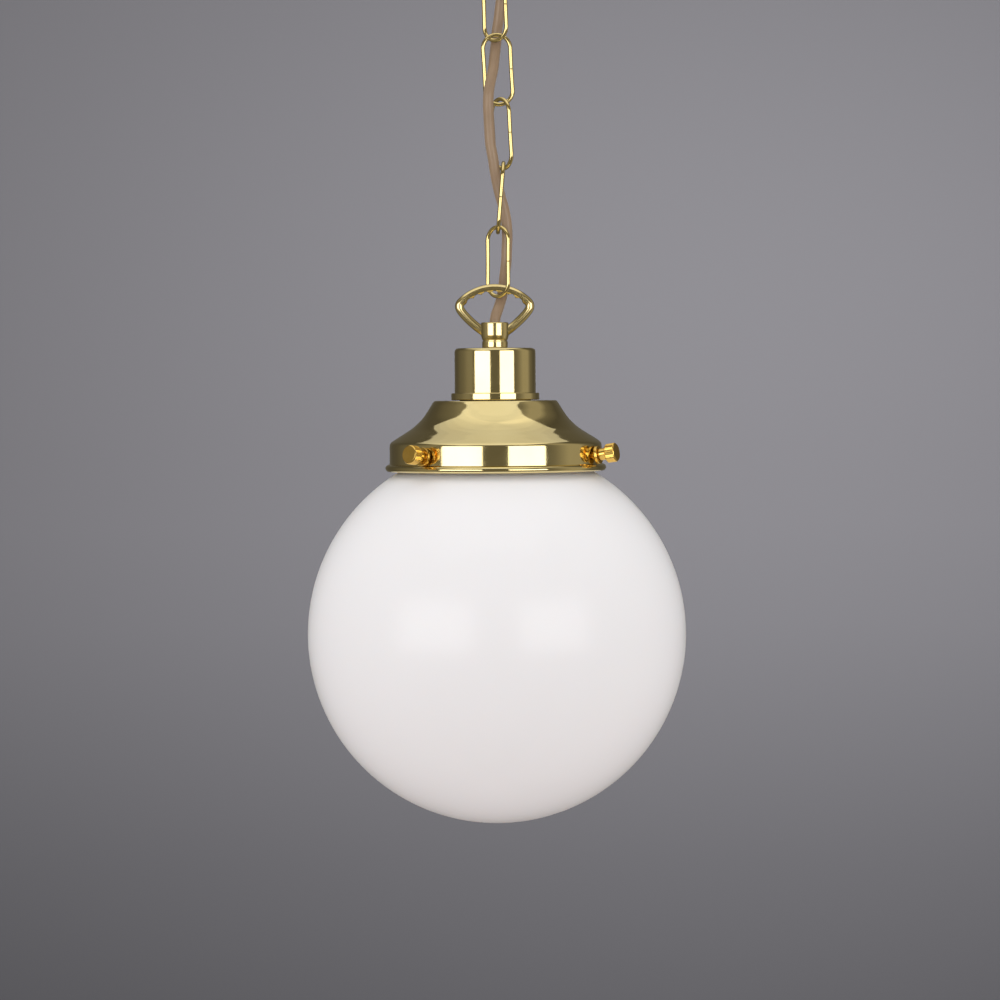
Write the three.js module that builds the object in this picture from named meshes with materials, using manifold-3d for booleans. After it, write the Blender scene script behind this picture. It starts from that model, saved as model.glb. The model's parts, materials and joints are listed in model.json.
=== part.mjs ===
// Pendant ceiling light: a brass ceiling rose, a five-link chain with the flex laced through it, and an
// opal glass globe held in a brass gallery by three thumbscrews. Millimetres, +Z up, origin on the ceiling.
import * as THREE from 'three';
import { mergeVertices } from 'three/addons/utils/BufferGeometryUtils.js';
import Module from 'manifold-3d';

const wasm = await Module();
wasm.setup();

// ---------------------------------------------------------------- driving dimensions
const GAP = 0.3;
const MERGE_TOLERANCE = 1e-3;
const UP = new THREE.Vector3(0, 0, 1);

const CHAIN = { wireR: 1.1, length: 38.7, width: 16.6, crossing: 2.9, hookGap: 0.4, bendSteps: 10,
  sides: 8 };
const LINK_TWIST_DEG = [37, 0, 51, 90, 41];
const CONTACT_X = [0.6, 1.6, 3.4, 5.2, 2.0, 1.8];
const HOOK = { wireR: 1.8, eyeR: 8.2, stemR: 3.9, stemTop: -3, bossR: 5, seatZ: -64.3, twistDeg: -53 };

const ROSE = { rimR: 52, beadR: 1.4, wall: 1.2, floorR: 26, floorZ: -36, skirtZ: -9, holeR: 4.3 };
const STRAP = { length: 88, width: 18, thick: 2.5, slotX: 34, bossR: 8, bossBottom: -14, boreR: 4.2 };
const EARTH = { x: -19, y: 4, holeR: 1.8 };
const BUSH = { x: 14.5, y: 6.5, flangeR: 6, barrelR: 4.5, boreR: 3.15, top: -29 };
const BLOCK = { width: 30, depth: 13, height: 11, y: 20, top: -4, pitch: 9.5, boreR: 1.9 };

const FLEX = { r: 2.75, sides: 10, coreR: 1.05, coreSides: 8 };

// Heights inside the fitting are measured from the centre of the globe.
const LOOP = { outerR: 27.4, top: 184.8, barR: 2.3, legR: 2.2, cuspR: 22.8, notchR: 23.6, notches: 7,
  cornerAngle: 0.845, crossingGap: 0.85 };
const NECK = { top: 164.5, bottom: 151.2, boreR: 3.4, socketR: 5.3, socketTop: 158.2 };
const NIPPLE = { r: 4.95, boreR: 3.15, top: 157.9, bottom: 142 };
const COVER = { r: 21.4, wall: 1.2, top: 150.9, flangeR: 23.25, flangeTop: 127.3, bottom: 123.6 };
const HOLDER = { r: 18.9, wall: 2.2, capTop: 144.5, split: 131, bottom: 97.5, shellR: 14.2, shellWall: 0.7 };
const GALLERY = { wall: 1.2, top: 123.3, topR: 31.9, boreR: 19.3, skirtR: 56.05, skirtTop: 100 };
const RIM = { r: 1.8, centreR: 56.5, height: 87.9 };
const GLOBE = { r: 100, wall: 3, neckR: 46.8, lipR: 50.6, lipTop: 102, neckTop: 98.2 };
const SCREW = { azimuthsDeg: [-40.5, 67, 194.75], height: 94.4, riseDeg: 8.5, shankR: 2.4, collarR: 3.2,
  collarStart: 59.2, headR: 4.95, headEnd: 68.5, nutR: 4.85, nutStart: 57.15, nutEnd: 58.9 };
const BULB = { r: 30, centre: 45, neckR: 13, capR: 12.9, capTop: 119, capBottom: 97.8 };

const LINK_BEND_R = CHAIN.width / 2 - CHAIN.wireR;
const LINK_SPAN = CHAIN.length - 2 * CHAIN.wireR;
const HOOK_CROSSING = CHAIN.wireR + HOOK.wireR + CHAIN.hookGap;
const LOOP_CENTRE = LOOP.top - LOOP.outerR;
const BAR_LOW = LOOP_CENTRE + LOOP.cuspR;

// ---------------------------------------------------------------- materials
function standard(color, roughness, metalness) {
  return new THREE.MeshStandardMaterial({ color, roughness, metalness });
}
const polishedBrass = () => standard(0xd9c08a, 0.12, 1);
const goldPlate = () => standard(0xe0b46a, 0.18, 1);
const lacqueredBrass = () => standard(0xe6a640, 0.22, 1);
const zincSteel = () => standard(0xb8bcc0, 0.35, 1);
const castBrass = () => standard(0xc89b4a, 0.3, 1);
const opalGlass = () => standard(0xf4f2ef, 0.08, 0);
const textileFlex = () => standard(0xb2946f, 0.6, 0);
const phenolic = () => standard(0x2a2320, 0.4, 0);
const porcelain = () => standard(0xece8df, 0.25, 0);
const nylon = () => standard(0xf0ede4, 0.5, 0);
const coreSheath = (color) => standard(color, 0.5, 0);

// ---------------------------------------------------------------- geometry helpers
function signedVolume(geometry) {
  const position = geometry.getAttribute('position');
  const index = geometry.getIndex();
  const [a, b, c] = [new THREE.Vector3(), new THREE.Vector3(), new THREE.Vector3()];
  let volume = 0;
  for (let i = 0; i < index.count; i += 3) {
    a.fromBufferAttribute(position, index.getX(i));
    b.fromBufferAttribute(position, index.getX(i + 1));
    c.fromBufferAttribute(position, index.getX(i + 2));
    volume += a.dot(b.cross(c)) / 6;
  }
  return volume;
}

// Merges shared vertices, drops collapsed triangles and turns the faces outwards.
function closed(geometry) {
  geometry.deleteAttribute('normal');
  geometry.deleteAttribute('uv');
  const merged = mergeVertices(geometry, MERGE_TOLERANCE);
  const source = merged.getIndex().array;
  const kept = [];
  for (let i = 0; i < source.length; i += 3) {
    const [a, b, c] = [source[i], source[i + 1], source[i + 2]];
    if (a !== b && b !== c && c !== a) kept.push(a, b, c);
  }
  merged.setIndex(kept);
  if (signedVolume(merged) < 0) {
    for (let i = 0; i < kept.length; i += 3) [kept[i + 1], kept[i + 2]] = [kept[i + 2], kept[i + 1]];
    merged.setIndex(kept);
  }
  return merged;
}

function toSolid(geometry) {
  const shape = closed(geometry);
  const vertProperties = new Float32Array(shape.getAttribute('position').array);
  const triVerts = new Uint32Array(shape.getIndex().array);
  return new wasm.Manifold(new wasm.Mesh({ numProp: 3, vertProperties, triVerts }));
}

function fromSolid(solid) {
  const mesh = solid.getMesh();
  const geometry = new THREE.BufferGeometry();
  geometry.setAttribute('position', new THREE.BufferAttribute(mesh.vertProperties, 3));
  geometry.setIndex(new THREE.BufferAttribute(mesh.triVerts, 1));
  return geometry;
}

function subtractAll(geometry, cutters) {
  return fromSolid(cutters.reduce((solid, cutter) => solid.subtract(toSolid(cutter)), toSolid(geometry)));
}

function uniteAll(geometries) {
  const [first, ...rest] = geometries.map(toSolid);
  return fromSolid(rest.reduce((solid, other) => solid.add(other), first));
}

// A profile of [radius, height] pairs turned about Z; it closes on itself or ends on the axis.
function turned(profile, segments) {
  const points = profile.map(([r, z]) => new THREE.Vector2(r, z));
  return new THREE.LatheGeometry(points, segments).rotateX(Math.PI / 2);
}

function disc(r, bottom, top, segments = 24) {
  return new THREE.CylinderGeometry(r, r, top - bottom, segments)
    .rotateX(Math.PI / 2)
    .translate(0, 0, (top + bottom) / 2);
}

function ring(outerR, innerR, bottom, top, segments = 24) {
  const profile = [[innerR, bottom], [outerR, bottom], [outerR, top], [innerR, top], [innerR, bottom]];
  return turned(profile, segments);
}

function regularShape(sides, radius, phase = 0) {
  const corners = Array.from({ length: sides }, (_, i) => {
    const angle = phase + (2 * Math.PI * i) / sides;
    return new THREE.Vector2(radius * Math.cos(angle), radius * Math.sin(angle));
  });
  return new THREE.Shape(corners);
}

function hexNut(acrossFlats, boreR, bottom, top) {
  const shape = regularShape(6, acrossFlats / Math.sqrt(3));
  shape.holes.push(new THREE.Path().absarc(0, 0, boreR, 0, 2 * Math.PI, true));
  return new THREE.ExtrudeGeometry(shape, { depth: top - bottom, bevelEnabled: false, curveSegments: 8 })
    .translate(0, 0, bottom);
}

// Fine straight knurling: a toothed outline with a chamfer at both ends.
function knurled(radius, boreR, bottom, top, teeth) {
  const depth = 0.22;
  const chamfer = 0.35;
  const outline = Array.from({ length: teeth * 2 }, (_, i) => {
    const angle = (Math.PI * i) / teeth;
    const r = i % 2 ? radius - depth : radius;
    return new THREE.Vector2(r * Math.cos(angle), r * Math.sin(angle));
  });
  const shape = new THREE.Shape(outline);
  if (boreR > 0) shape.holes.push(new THREE.Path().absarc(0, 0, boreR, 0, 2 * Math.PI, true));
  const options = {
    depth: top - bottom - 2 * chamfer,
    bevelThickness: chamfer,
    bevelSize: chamfer,
    bevelOffset: -chamfer,
    bevelSegments: 1,
    curveSegments: 7,
  };
  return new THREE.ExtrudeGeometry(shape, options).translate(0, 0, bottom + chamfer);
}

function tube(curve, radius, sides, steps) {
  const section = regularShape(sides, radius);
  return new THREE.ExtrudeGeometry(section, { steps, extrudePath: curve, bevelEnabled: false });
}

function openCurve(points) {
  const stations = points.map(([x, y, z]) => new THREE.Vector3(x, y, z));
  return new THREE.CatmullRomCurve3(stations, false, 'centripetal');
}

function arcProfile(centreR, centreZ, radius, fromDeg, toDeg, steps) {
  return Array.from({ length: steps + 1 }, (_, i) => {
    const angle = THREE.MathUtils.degToRad(fromDeg + ((toDeg - fromDeg) * i) / steps);
    return [centreR + radius * Math.cos(angle), centreZ + radius * Math.sin(angle)];
  });
}

// Shifts an open profile sideways by the wall, to the left of its direction of travel.
function offsetProfile(profile, distance) {
  return profile.map(([r, z], i) => {
    const [r0, z0] = profile[Math.max(i - 1, 0)];
    const [r1, z1] = profile[Math.min(i + 1, profile.length - 1)];
    const length = Math.hypot(r1 - r0, z1 - z0);
    return [r - (distance * (z1 - z0)) / length, z + (distance * (r1 - r0)) / length];
  });
}

function smoothProfile(points, samples) {
  const spline = new THREE.SplineCurve(points.map(([r, z]) => new THREE.Vector2(r, z)));
  return spline.getPoints(samples).map((point) => [point.x, point.y]);
}

const pendant = new THREE.Group();
const fitting = new THREE.Group();
pendant.add(fitting);

function addPart(parent, name, geometry, material) {
  const mesh = new THREE.Mesh(closed(geometry), material);
  mesh.name = name;
  parent.add(mesh);
  return mesh;
}

// ---------------------------------------------------------------- ceiling rose
// A flat steel strap with a screw slot at each end and a blind threaded boss for the hook.
function strapGeometry() {
  const { length, width, thick, slotX, bossR, bossBottom, boreR } = STRAP;
  const bar = new THREE.BoxGeometry(length, width, thick).translate(0, 0, -thick / 2);
  const boss = disc(bossR, bossBottom, -thick / 2, 20);
  const slot = (x) => new THREE.BoxGeometry(8, 4.6, 3 * thick).translate(x, 0, -thick / 2);
  const stemHole = disc(boreR, bossBottom - 1, HOOK.stemTop + GAP, 20);
  const earthHole = disc(EARTH.holeR, -2 * thick, thick, 12).translate(EARTH.x, EARTH.y, 0);
  return subtractAll(uniteAll([bar, boss]), [slot(slotX), slot(-slotX), stemHole, earthHole]);
}

function roseCoverGeometry() {
  const { rimR, beadR, wall, floorR, floorZ, skirtZ, holeR } = ROSE;
  const bead = arcProfile(rimR + beadR - wall / 2, -GAP - beadR, beadR, 100, -150, 6);
  const cove = smoothProfile([
    [rimR, skirtZ], [rimR - 3.5, skirtZ - 2.6], [rimR - 12, skirtZ - 7], [floorR + 6, floorZ + 10],
    [floorR + 1, floorZ + 2], [floorR - 2, floorZ],
  ], 8);
  const outer = [...bead, [rimR, -5], ...cove, [holeR, floorZ]];
  const inside = offsetProfile([[rimR, -4], ...cove, [holeR, floorZ]], -wall);
  const inner = inside.map(([r, z]) => [Math.max(r, holeR), z]);
  const profile = [...outer, ...inner.reverse(), [rimR - wall, -GAP - 0.3], bead[0]];
  const cordHole = disc(BUSH.barrelR + GAP, floorZ - 4, floorZ + 4, 20).translate(BUSH.x, BUSH.y, 0);
  return subtractAll(turned(profile, 24), [cordHole]);
}

function hookGeometry() {
  const eye = new THREE.TorusGeometry(HOOK.eyeR, HOOK.wireR, 8, 22).rotateX(Math.PI / 2);
  eye.translate(0, 0, HOOK.seatZ + HOOK.eyeR);
  eye.rotateZ(THREE.MathUtils.degToRad(-HOOK.twistDeg));
  const eyeTop = HOOK.seatZ + 2 * HOOK.eyeR;
  const stem = turned([
    [0, eyeTop - 1], [3.2, eyeTop - 1], [HOOK.bossR, eyeTop + 1], [HOOK.bossR, eyeTop + 2.2],
    [HOOK.stemR, eyeTop + 3], [HOOK.stemR, HOOK.stemTop - 0.6], [HOOK.stemR - 0.6, HOOK.stemTop],
    [0, HOOK.stemTop],
  ], 14);
  return uniteAll([eye, stem]);
}

function blockGeometry() {
  const { width, depth, height, y, top, pitch, boreR } = BLOCK;
  const body = new THREE.BoxGeometry(width, depth, height).translate(0, y, top - height / 2);
  const ways = [-pitch, 0, pitch];
  const bores = ways.map((x) => disc(boreR, top - height - 1, top - 4, 10).translate(x, y, 0));
  const screwWells = ways.map((x) => disc(2.2, 0, depth, 10).rotateX(Math.PI / 2)
    .translate(x, y - 1.2, top - 5));
  return subtractAll(body, [...bores, ...screwWells]);
}

function slottedScrew(headR, headHeight, shankR, shankLength) {
  const head = disc(headR, 0, headHeight, 14);
  const slot = new THREE.BoxGeometry(3 * headR, headR * 0.28, headHeight).translate(0, 0, headHeight);
  return uniteAll([subtractAll(head, [slot]), disc(shankR, -shankLength, 0.2, 12)]);
}

function buildRose() {
  addPart(pendant, 'ceiling_strap', strapGeometry(), zincSteel());
  addPart(pendant, 'rose_cover', roseCoverGeometry(), polishedBrass());
  addPart(pendant, 'rose_hook', hookGeometry(), goldPlate());
  const nutTop = STRAP.bossBottom - GAP;
  addPart(pendant, 'hook_nut', hexNut(13, STRAP.boreR, nutTop - 4.5, nutTop), zincSteel());
  const collarTop = ROSE.floorZ - GAP;
  const collar = ring(9, STRAP.boreR, collarTop - 4, collarTop, 20);
  addPart(pendant, 'rose_collar', collar, polishedBrass());
  const flangeTop = ROSE.floorZ - GAP;
  const bush = turned([
    [BUSH.boreR, flangeTop - 2], [BUSH.flangeR, flangeTop - 2], [BUSH.flangeR, flangeTop],
    [BUSH.barrelR, flangeTop], [BUSH.barrelR, BUSH.top], [BUSH.boreR, BUSH.top], [BUSH.boreR, flangeTop - 2],
  ], 20);
  addPart(pendant, 'cord_bush', bush, nylon()).position.set(BUSH.x, BUSH.y, 0);
  addPart(pendant, 'terminal_block', blockGeometry(), porcelain());
  [-BLOCK.pitch, 0, BLOCK.pitch].forEach((x, i) => {
    const geometry = slottedScrew(1.8, 1.4, 1.2, 3);
    const screw = addPart(pendant, `terminal_screw_${i + 1}`, geometry, lacqueredBrass());
    screw.rotation.x = Math.PI / 2;
    screw.position.set(x, BLOCK.y - BLOCK.depth / 2 + 1.6, BLOCK.top - 5);
  });
  const earth = addPart(pendant, 'earth_screw', slottedScrew(3, 2, 1.5, 2.2), lacqueredBrass());
  earth.rotation.x = Math.PI;
  earth.position.set(EARTH.x, EARTH.y, -STRAP.thick - GAP);
}

// ---------------------------------------------------------------- chain
// A closed oval of round wire in the XZ plane: one long step along each leg, the rest round the bends.
class LinkCurve extends THREE.Curve {
  getUtoTmapping(u) {
    return u;
  }

  getPoint(t, target = new THREE.Vector3()) {
    const half = t % 1 >= 0.5 ? -1 : 1;
    const along = (t % 0.5) * 2;
    const legShare = 1 / CHAIN.bendSteps;
    const legEnd = LINK_SPAN / 2 - LINK_BEND_R;
    if (along < legShare) {
      return target.set(half * LINK_BEND_R, 0, half * legEnd * ((2 * along) / legShare - 1));
    }
    const angle = (Math.PI * (along - legShare)) / (1 - legShare);
    return target.set(half * LINK_BEND_R * Math.cos(angle), 0,
      half * (legEnd + LINK_BEND_R * Math.sin(angle)));
  }
}

function linkGeometry() {
  return new THREE.TubeGeometry(new LinkCurve(), 2 * CHAIN.bendSteps, CHAIN.wireR, CHAIN.sides, true);
}

function linkEnds() {
  const ends = [];
  let top = HOOK.seatZ + HOOK_CROSSING;
  for (let i = 0; i < LINK_TWIST_DEG.length; i += 1) {
    const bottom = top - LINK_SPAN;
    ends.push({ top, bottom });
    top = bottom + CHAIN.crossing;
  }
  return ends;
}

function buildChain() {
  linkEnds().forEach(({ top, bottom }, i) => {
    const link = addPart(pendant, `link_${i + 1}`, linkGeometry(), goldPlate());
    const [upperX, lowerX] = [CONTACT_X[i], CONTACT_X[i + 1]];
    const lean = new THREE.Vector3(upperX - lowerX, 0, top - bottom).normalize();
    const twist = new THREE.Quaternion().setFromAxisAngle(UP, THREE.MathUtils.degToRad(-LINK_TWIST_DEG[i]));
    link.quaternion.setFromUnitVectors(UP, lean).multiply(twist);
    link.position.set((upperX + lowerX) / 2, 0, (top + bottom) / 2);
  });
}

// ---------------------------------------------------------------- lamp loop
// Half the loop's frame: the leg from the neck up to the corner, bowed a little outwards.
function legGeometry(side) {
  const corner = barPoint(side * LOOP.cornerAngle);
  const points = [[4.6, 159.6], [8.6, 162.9], [13.4, 167.2], [16.9, 171.2]];
  const route = points.map(([x, z]) => [side * x, 0, z]);
  return tube(openCurve([...route, corner]), LOOP.legR, 6, 8);
}

function barPoint(angle) {
  const r = LOOP.outerR - LOOP.barR;
  return [r * Math.sin(angle), 0, LOOP_CENTRE + r * Math.cos(angle)];
}

function cornerGeometry(side) {
  const [x, , z] = barPoint(side * LOOP.cornerAngle);
  return new THREE.SphereGeometry(LOOP.barR, 10, 6).rotateX(Math.PI / 2).translate(x, 0, z);
}

// The row of shallow notches along the underside of the bar that the top link can settle in.
function notchCutters() {
  const reach = LOOP.cornerAngle - 0.13;
  const pitch = (2 * reach) / LOOP.notches;
  const cutterR = LOOP.cuspR * pitch * 0.56;
  return Array.from({ length: LOOP.notches }, (_, i) => {
    const angle = -reach + (i + 0.5) * pitch;
    const r = LOOP.notchR - cutterR;
    return disc(cutterR, -LOOP.barR - 1, LOOP.barR + 1, 12)
      .rotateX(Math.PI / 2)
      .translate(r * Math.sin(angle), 0, LOOP_CENTRE + r * Math.cos(angle));
  });
}

function lampLoopGeometry() {
  const steps = 10;
  const places = Array.from({ length: steps + 1 }, (_, i) => (2 * i) / steps - 1);
  const arc = places.map((place) => barPoint(LOOP.cornerAngle * place));
  const bar = tube(openCurve(arc), LOOP.barR, 8, steps);
  const frame = [bar, ...[-1, 1].flatMap((side) => [legGeometry(side), cornerGeometry(side)])];
  const neck = turned([
    [0, NECK.bottom], [6.9, NECK.bottom], [7.1, 151.8], [6.7, 152.6], [6.7, 154.2], [6.2, 154.6],
    [6.65, 155.2], [7.2, 160.5], [7.4, 163.4], [6.8, NECK.top], [0, NECK.top],
  ], 20);
  const bore = disc(NECK.boreR, NECK.bottom - 1, NECK.top + 4, 20);
  const socket = disc(NECK.socketR, NECK.bottom - 1, NECK.socketTop, 20);
  return subtractAll(uniteAll([...frame, neck]), [bore, socket, ...notchCutters()]);
}

// ---------------------------------------------------------------- lampholder and its cover
function coverGeometry() {
  const { r, wall, top, flangeR, flangeTop, bottom } = COVER;
  const edge = 2;
  const hole = NIPPLE.r + GAP;
  return turned([
    [r - wall, bottom], [flangeR - 0.6, bottom], [flangeR, bottom + 0.6], [flangeR, flangeTop - 0.6],
    [flangeR - 0.6, flangeTop], [r, flangeTop],
    ...arcProfile(r - edge, top - edge, edge, 0, 90, 3), [hole, top], [hole, top - wall],
    [r - wall - 1, top - wall], [r - wall, top - wall - 1], [r - wall, bottom],
  ], 24);
}

function buildHolder() {
  const { r, wall, capTop, split, bottom, shellR, shellWall } = HOLDER;
  addPart(fitting, 'lampholder_cover', coverGeometry(), polishedBrass());
  addPart(fitting, 'nipple', ring(NIPPLE.r, NIPPLE.boreR, NIPPLE.bottom, NIPPLE.top), castBrass());
  const nutTop = COVER.top - COVER.wall - GAP;
  addPart(fitting, 'nipple_nut', hexNut(14, NIPPLE.r + GAP, nutTop - 3.4, nutTop), zincSteel());
  const collarR = NIPPLE.r + GAP;
  const cap = turned([
    [collarR, capTop], [9, capTop], [9.6, capTop - 2.5], [r - 3, capTop - 4.5], [r, capTop - 7.5],
    [r, split],
    [r - wall, split], [r - wall, capTop - 9], [r - wall - 3, capTop - 7], [collarR, capTop - 5.5],
    [collarR, capTop],
  ], 20);
  addPart(fitting, 'lampholder_cap', cap, phenolic());
  const skirtTop = split - GAP;
  const outerSkirt = turned([
    [r - wall, bottom], [r - 0.5, bottom], [r, bottom + 0.8], [r, skirtTop], [shellR + GAP, skirtTop],
    [shellR + GAP, skirtTop - 3.6], [r - wall, skirtTop - 3.6], [r - wall, bottom],
  ], 24);
  addPart(fitting, 'lampholder_skirt', outerSkirt, phenolic());
  const insert = turned([
    [0, 123.2], [shellR, 123.2], [shellR, 128], [0, 128],
  ], 24);
  const cuts = [[-9, 0], [9, 0]].map(([x, y]) => disc(1.6, 124.8, 129, 10).translate(x, y, 0));
  addPart(fitting, 'contact_insert', subtractAll(insert, cuts), porcelain());
  addPart(fitting, 'screw_shell', ring(shellR, shellR - shellWall, 101.5, 122.9, 24), castBrass());
  const tongueOutline = [
    [-4.6, 0], [-4.6, -0.7], [-1.2, -1.2], [2.4, -2.9], [3.4, -2.7], [-0.9, -0.5], [4.4, -0.4], [4.4, 0],
  ];
  const tongue = new THREE.ExtrudeGeometry(
    new THREE.Shape(tongueOutline.map(([x, z]) => new THREE.Vector2(x, z))),
    { depth: 5, bevelEnabled: false },
  ).translate(0, 0, -2.5).rotateX(Math.PI / 2);
  addPart(fitting, 'centre_contact', tongue.translate(0, 0, 123.2 - GAP), castBrass());
  [-9, 9].forEach((x, i) => {
    const screw = addPart(fitting, `holder_screw_${i + 1}`, slottedScrew(2, 1.3, 1.2, 3), lacqueredBrass());
    screw.position.set(x, 0, 128 + GAP);
  });
  const ringTop = GALLERY.top - GALLERY.wall - GAP;
  addPart(fitting, 'shade_ring', ring(26, r + GAP, ringTop - 4.5, ringTop, 24), phenolic());
}

// ---------------------------------------------------------------- gallery
// The outer face from the flat top out over the cove and shoulder to the skirt.
function galleryCurve() {
  const { top, topR, skirtR, skirtTop } = GALLERY;
  return [
    [topR - 0.3, top],
    [topR + 0.6, top - 0.3],
    ...smoothProfile([
      [topR + 1.3, top - 1.2], [35.6, 118.2], [39, 113.5], [44.1, 108.75], [49.3, 105.35], [53.9, 102.4],
    ], 7),
    [55.2, 101.4], [skirtR - 0.2, skirtTop + 0.5], [skirtR, skirtTop - 0.8],
  ];
}

function galleryGeometry() {
  const { wall, top, boreR, skirtR } = GALLERY;
  const curve = galleryCurve();
  const outer = [[boreR, top], ...curve];
  const inner = offsetProfile(outer, -wall);
  inner[0] = [boreR, top - wall];
  const bead = arcProfile(RIM.centreR, RIM.height, RIM.r, 75, -165, 5);
  const profile = [
    ...outer, [skirtR, RIM.height + 2.2], ...bead, [skirtR - wall, RIM.height + 1.2],
    ...inner.reverse(), outer[0],
  ];
  const drill = disc(SCREW.shankR + 0.35, 52, 59, 12);
  const holes = SCREW.azimuthsDeg.map((azimuth) => alongScrew(drill.clone(), azimuth));
  return subtractAll(turned(profile, 32), holes);
}

// ---------------------------------------------------------------- thumbscrews
// Carries a geometry modelled along +Z, distance from the globe's axis, onto a screw's own axis.
function screwMatrix(azimuthDeg) {
  const rise = THREE.MathUtils.degToRad(SCREW.riseDeg);
  const azimuth = THREE.MathUtils.degToRad(azimuthDeg);
  const direction = new THREE.Vector3(
    Math.sin(azimuth) * Math.cos(rise), -Math.cos(azimuth) * Math.cos(rise), Math.sin(rise));
  const turn = new THREE.Quaternion().setFromUnitVectors(UP, direction);
  const pivot = new THREE.Vector3(Math.sin(azimuth), -Math.cos(azimuth), 0).multiplyScalar(GALLERY.skirtR);
  pivot.z = SCREW.height;
  const matrix = new THREE.Matrix4().compose(pivot, turn, new THREE.Vector3(1, 1, 1));
  return matrix.multiply(new THREE.Matrix4().makeTranslation(0, 0, -GALLERY.skirtR));
}

function alongScrew(geometry, azimuthDeg) {
  return geometry.applyMatrix4(screwMatrix(azimuthDeg));
}

function screwGeometry() {
  const { shankR, headR, collarR, collarStart } = SCREW;
  const body = turned([
    [0, 49.4], [shankR - 0.5, 49.4], [shankR, 49.9], [shankR, collarStart],
    [collarR, collarStart], [collarR, 62.9], [4.2, 63.2], [4.2, 64], [0, 64],
  ], 12);
  return uniteAll([body, knurled(headR, 0, 63, SCREW.headEnd, 12)]);
}

function buildThumbscrews() {
  SCREW.azimuthsDeg.forEach((azimuth, i) => {
    const holder = new THREE.Group();
    screwMatrix(azimuth).decompose(holder.position, holder.quaternion, holder.scale);
    fitting.add(holder);
    addPart(holder, `screw_tip_${i + 1}`, disc(1.6, 47.3, 49.1, 12), nylon());
    addPart(holder, `thumbscrew_${i + 1}`, screwGeometry(), lacqueredBrass());
    const nut = ring(SCREW.nutR, SCREW.shankR + GAP, SCREW.nutStart, SCREW.nutEnd, 18);
    addPart(holder, `lock_nut_${i + 1}`, nut, lacqueredBrass());
  });
}

// ---------------------------------------------------------------- globe and bulb
function globeGeometry() {
  const { r, wall, neckR, lipR, lipTop, neckTop } = GLOBE;
  const join = THREE.MathUtils.radToDeg(Math.acos((neckR + 1.5) / r));
  const outerBall = arcProfile(0, 0, r, -90, join, 13);
  const innerR = r - wall;
  const innerJoin = THREE.MathUtils.radToDeg(Math.acos((neckR - wall) / innerR));
  const innerBall = arcProfile(0, 0, innerR, innerJoin, -90, 11);
  outerBall[0][0] = 0;
  innerBall[innerBall.length - 1][0] = 0;
  return turned([
    ...outerBall, [neckR + 0.3, 89.8], [neckR, 91.2], [neckR, neckTop - 1.6], [neckR + 1, neckTop - 0.5],
    [lipR - 0.6, neckTop], [lipR, neckTop + 1.4], [lipR, lipTop - 0.8], [lipR - 0.8, lipTop],
    [neckR - wall + 1, lipTop], [neckR - wall, lipTop - 1.2], ...innerBall,
  ], 32);
}

function buildBulb() {
  const { r, centre, neckR, capR, capTop, capBottom } = BULB;
  const sphere = arcProfile(0, centre, r, -90, 48, 7);
  sphere[0][0] = 0;
  const glass = turned([
    ...sphere, [neckR + 2.5, 79], [neckR + 0.6, 88], [neckR, capBottom - GAP], [0, capBottom - GAP],
  ], 20);
  addPart(fitting, 'bulb_glass', glass, opalGlass());
  const shell = turned([
    [0, capBottom], [capR, capBottom], [capR, capTop - 3.5], [8.5, capTop - 1], [5.5, capTop - GAP],
    [0, capTop - GAP],
  ], 20);
  addPart(fitting, 'bulb_cap', shell, zincSteel());
  addPart(fitting, 'bulb_contact', disc(4.6, capTop, capTop + 0.7, 16), castBrass());
}

// ---------------------------------------------------------------- flex and its cores
// Hand-laid route of the flex, from inside the rose down through the chain and into the neck.
const FLEX_ROUTE = [
  [14.5, 6.5, -24], [14.5, 6.5, -32], [14.5, 6.5, -43], [13.1, 4.9, -49.5], [10.2, 2.6, -56.5],
  [7.4, 2, -63],
  [5.2, 2.5, -71], [4.1, 2.9, -79.2], [3.2, 3.8, -86], [2.2, 5.2, -92], [1.7, 5.5, -98], [0.9, 3.7, -105],
  [0, 0.5, -112.9], [-1.4, -3.3, -119.5], [-2.4, -5.3, -126], [-2.6, -5.3, -132.5], [-2.3, -4, -140],
  [-2, -3.3, -146.5], [-1.5, -3, -153], [-0.3, -2.6, -159.5], [0.6, -1.7, -166], [1.9, -0.4, -173],
  [3.6, 0.3, -180], [5.4, 0.7, -186.5], [6.5, 1.3, -193], [6.9, 1.8, -199.5], [6.6, 1.9, -207],
  [6.3, 2.4, -213.6], [5.5, 4.4, -220], [4.7, 6.1, -226.5], [3.8, 5.7, -232], [2.2, 3.3, -237.5],
  [0.6, 0.9, -242], [0, 0, -245.5], [0, 0, -254], [0, 0, -267.5],
];
// The flex is split half way down each link, at these points of its route.
const FLEX_SPLITS = [0, 7, 12, 17, 22, 27, 35];

// One stretch of the whole route, drawn in at the ends by the gap that touching pieces keep.
function flexStretch(whole, first, last) {
  const fine = 24;
  const span = FLEX_ROUTE.length - 1;
  const samples = Array.from({ length: fine + 1 }, (_, i) => (
    whole.getPoint((first + ((last - first) * i) / fine) / span)));
  const stretch = new THREE.CatmullRomCurve3(samples, false, 'centripetal');
  const trim = GAP / 2 / stretch.getLength();
  const trimmed = samples.map((_, i) => stretch.getPointAt(trim + ((1 - 2 * trim) * i) / fine));
  return new THREE.CatmullRomCurve3(trimmed, false, 'centripetal');
}

function buildFlex() {
  const whole = openCurve(FLEX_ROUTE);
  for (let i = 0; i + 1 < FLEX_SPLITS.length; i += 1) {
    const stretch = flexStretch(whole, FLEX_SPLITS[i], FLEX_SPLITS[i + 1]);
    const steps = Math.ceil(stretch.getLength() / FLEX.r / 2);
    addPart(pendant, `flex_${i + 1}`, tube(stretch, FLEX.r, FLEX.sides, steps), textileFlex());
  }
}

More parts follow.
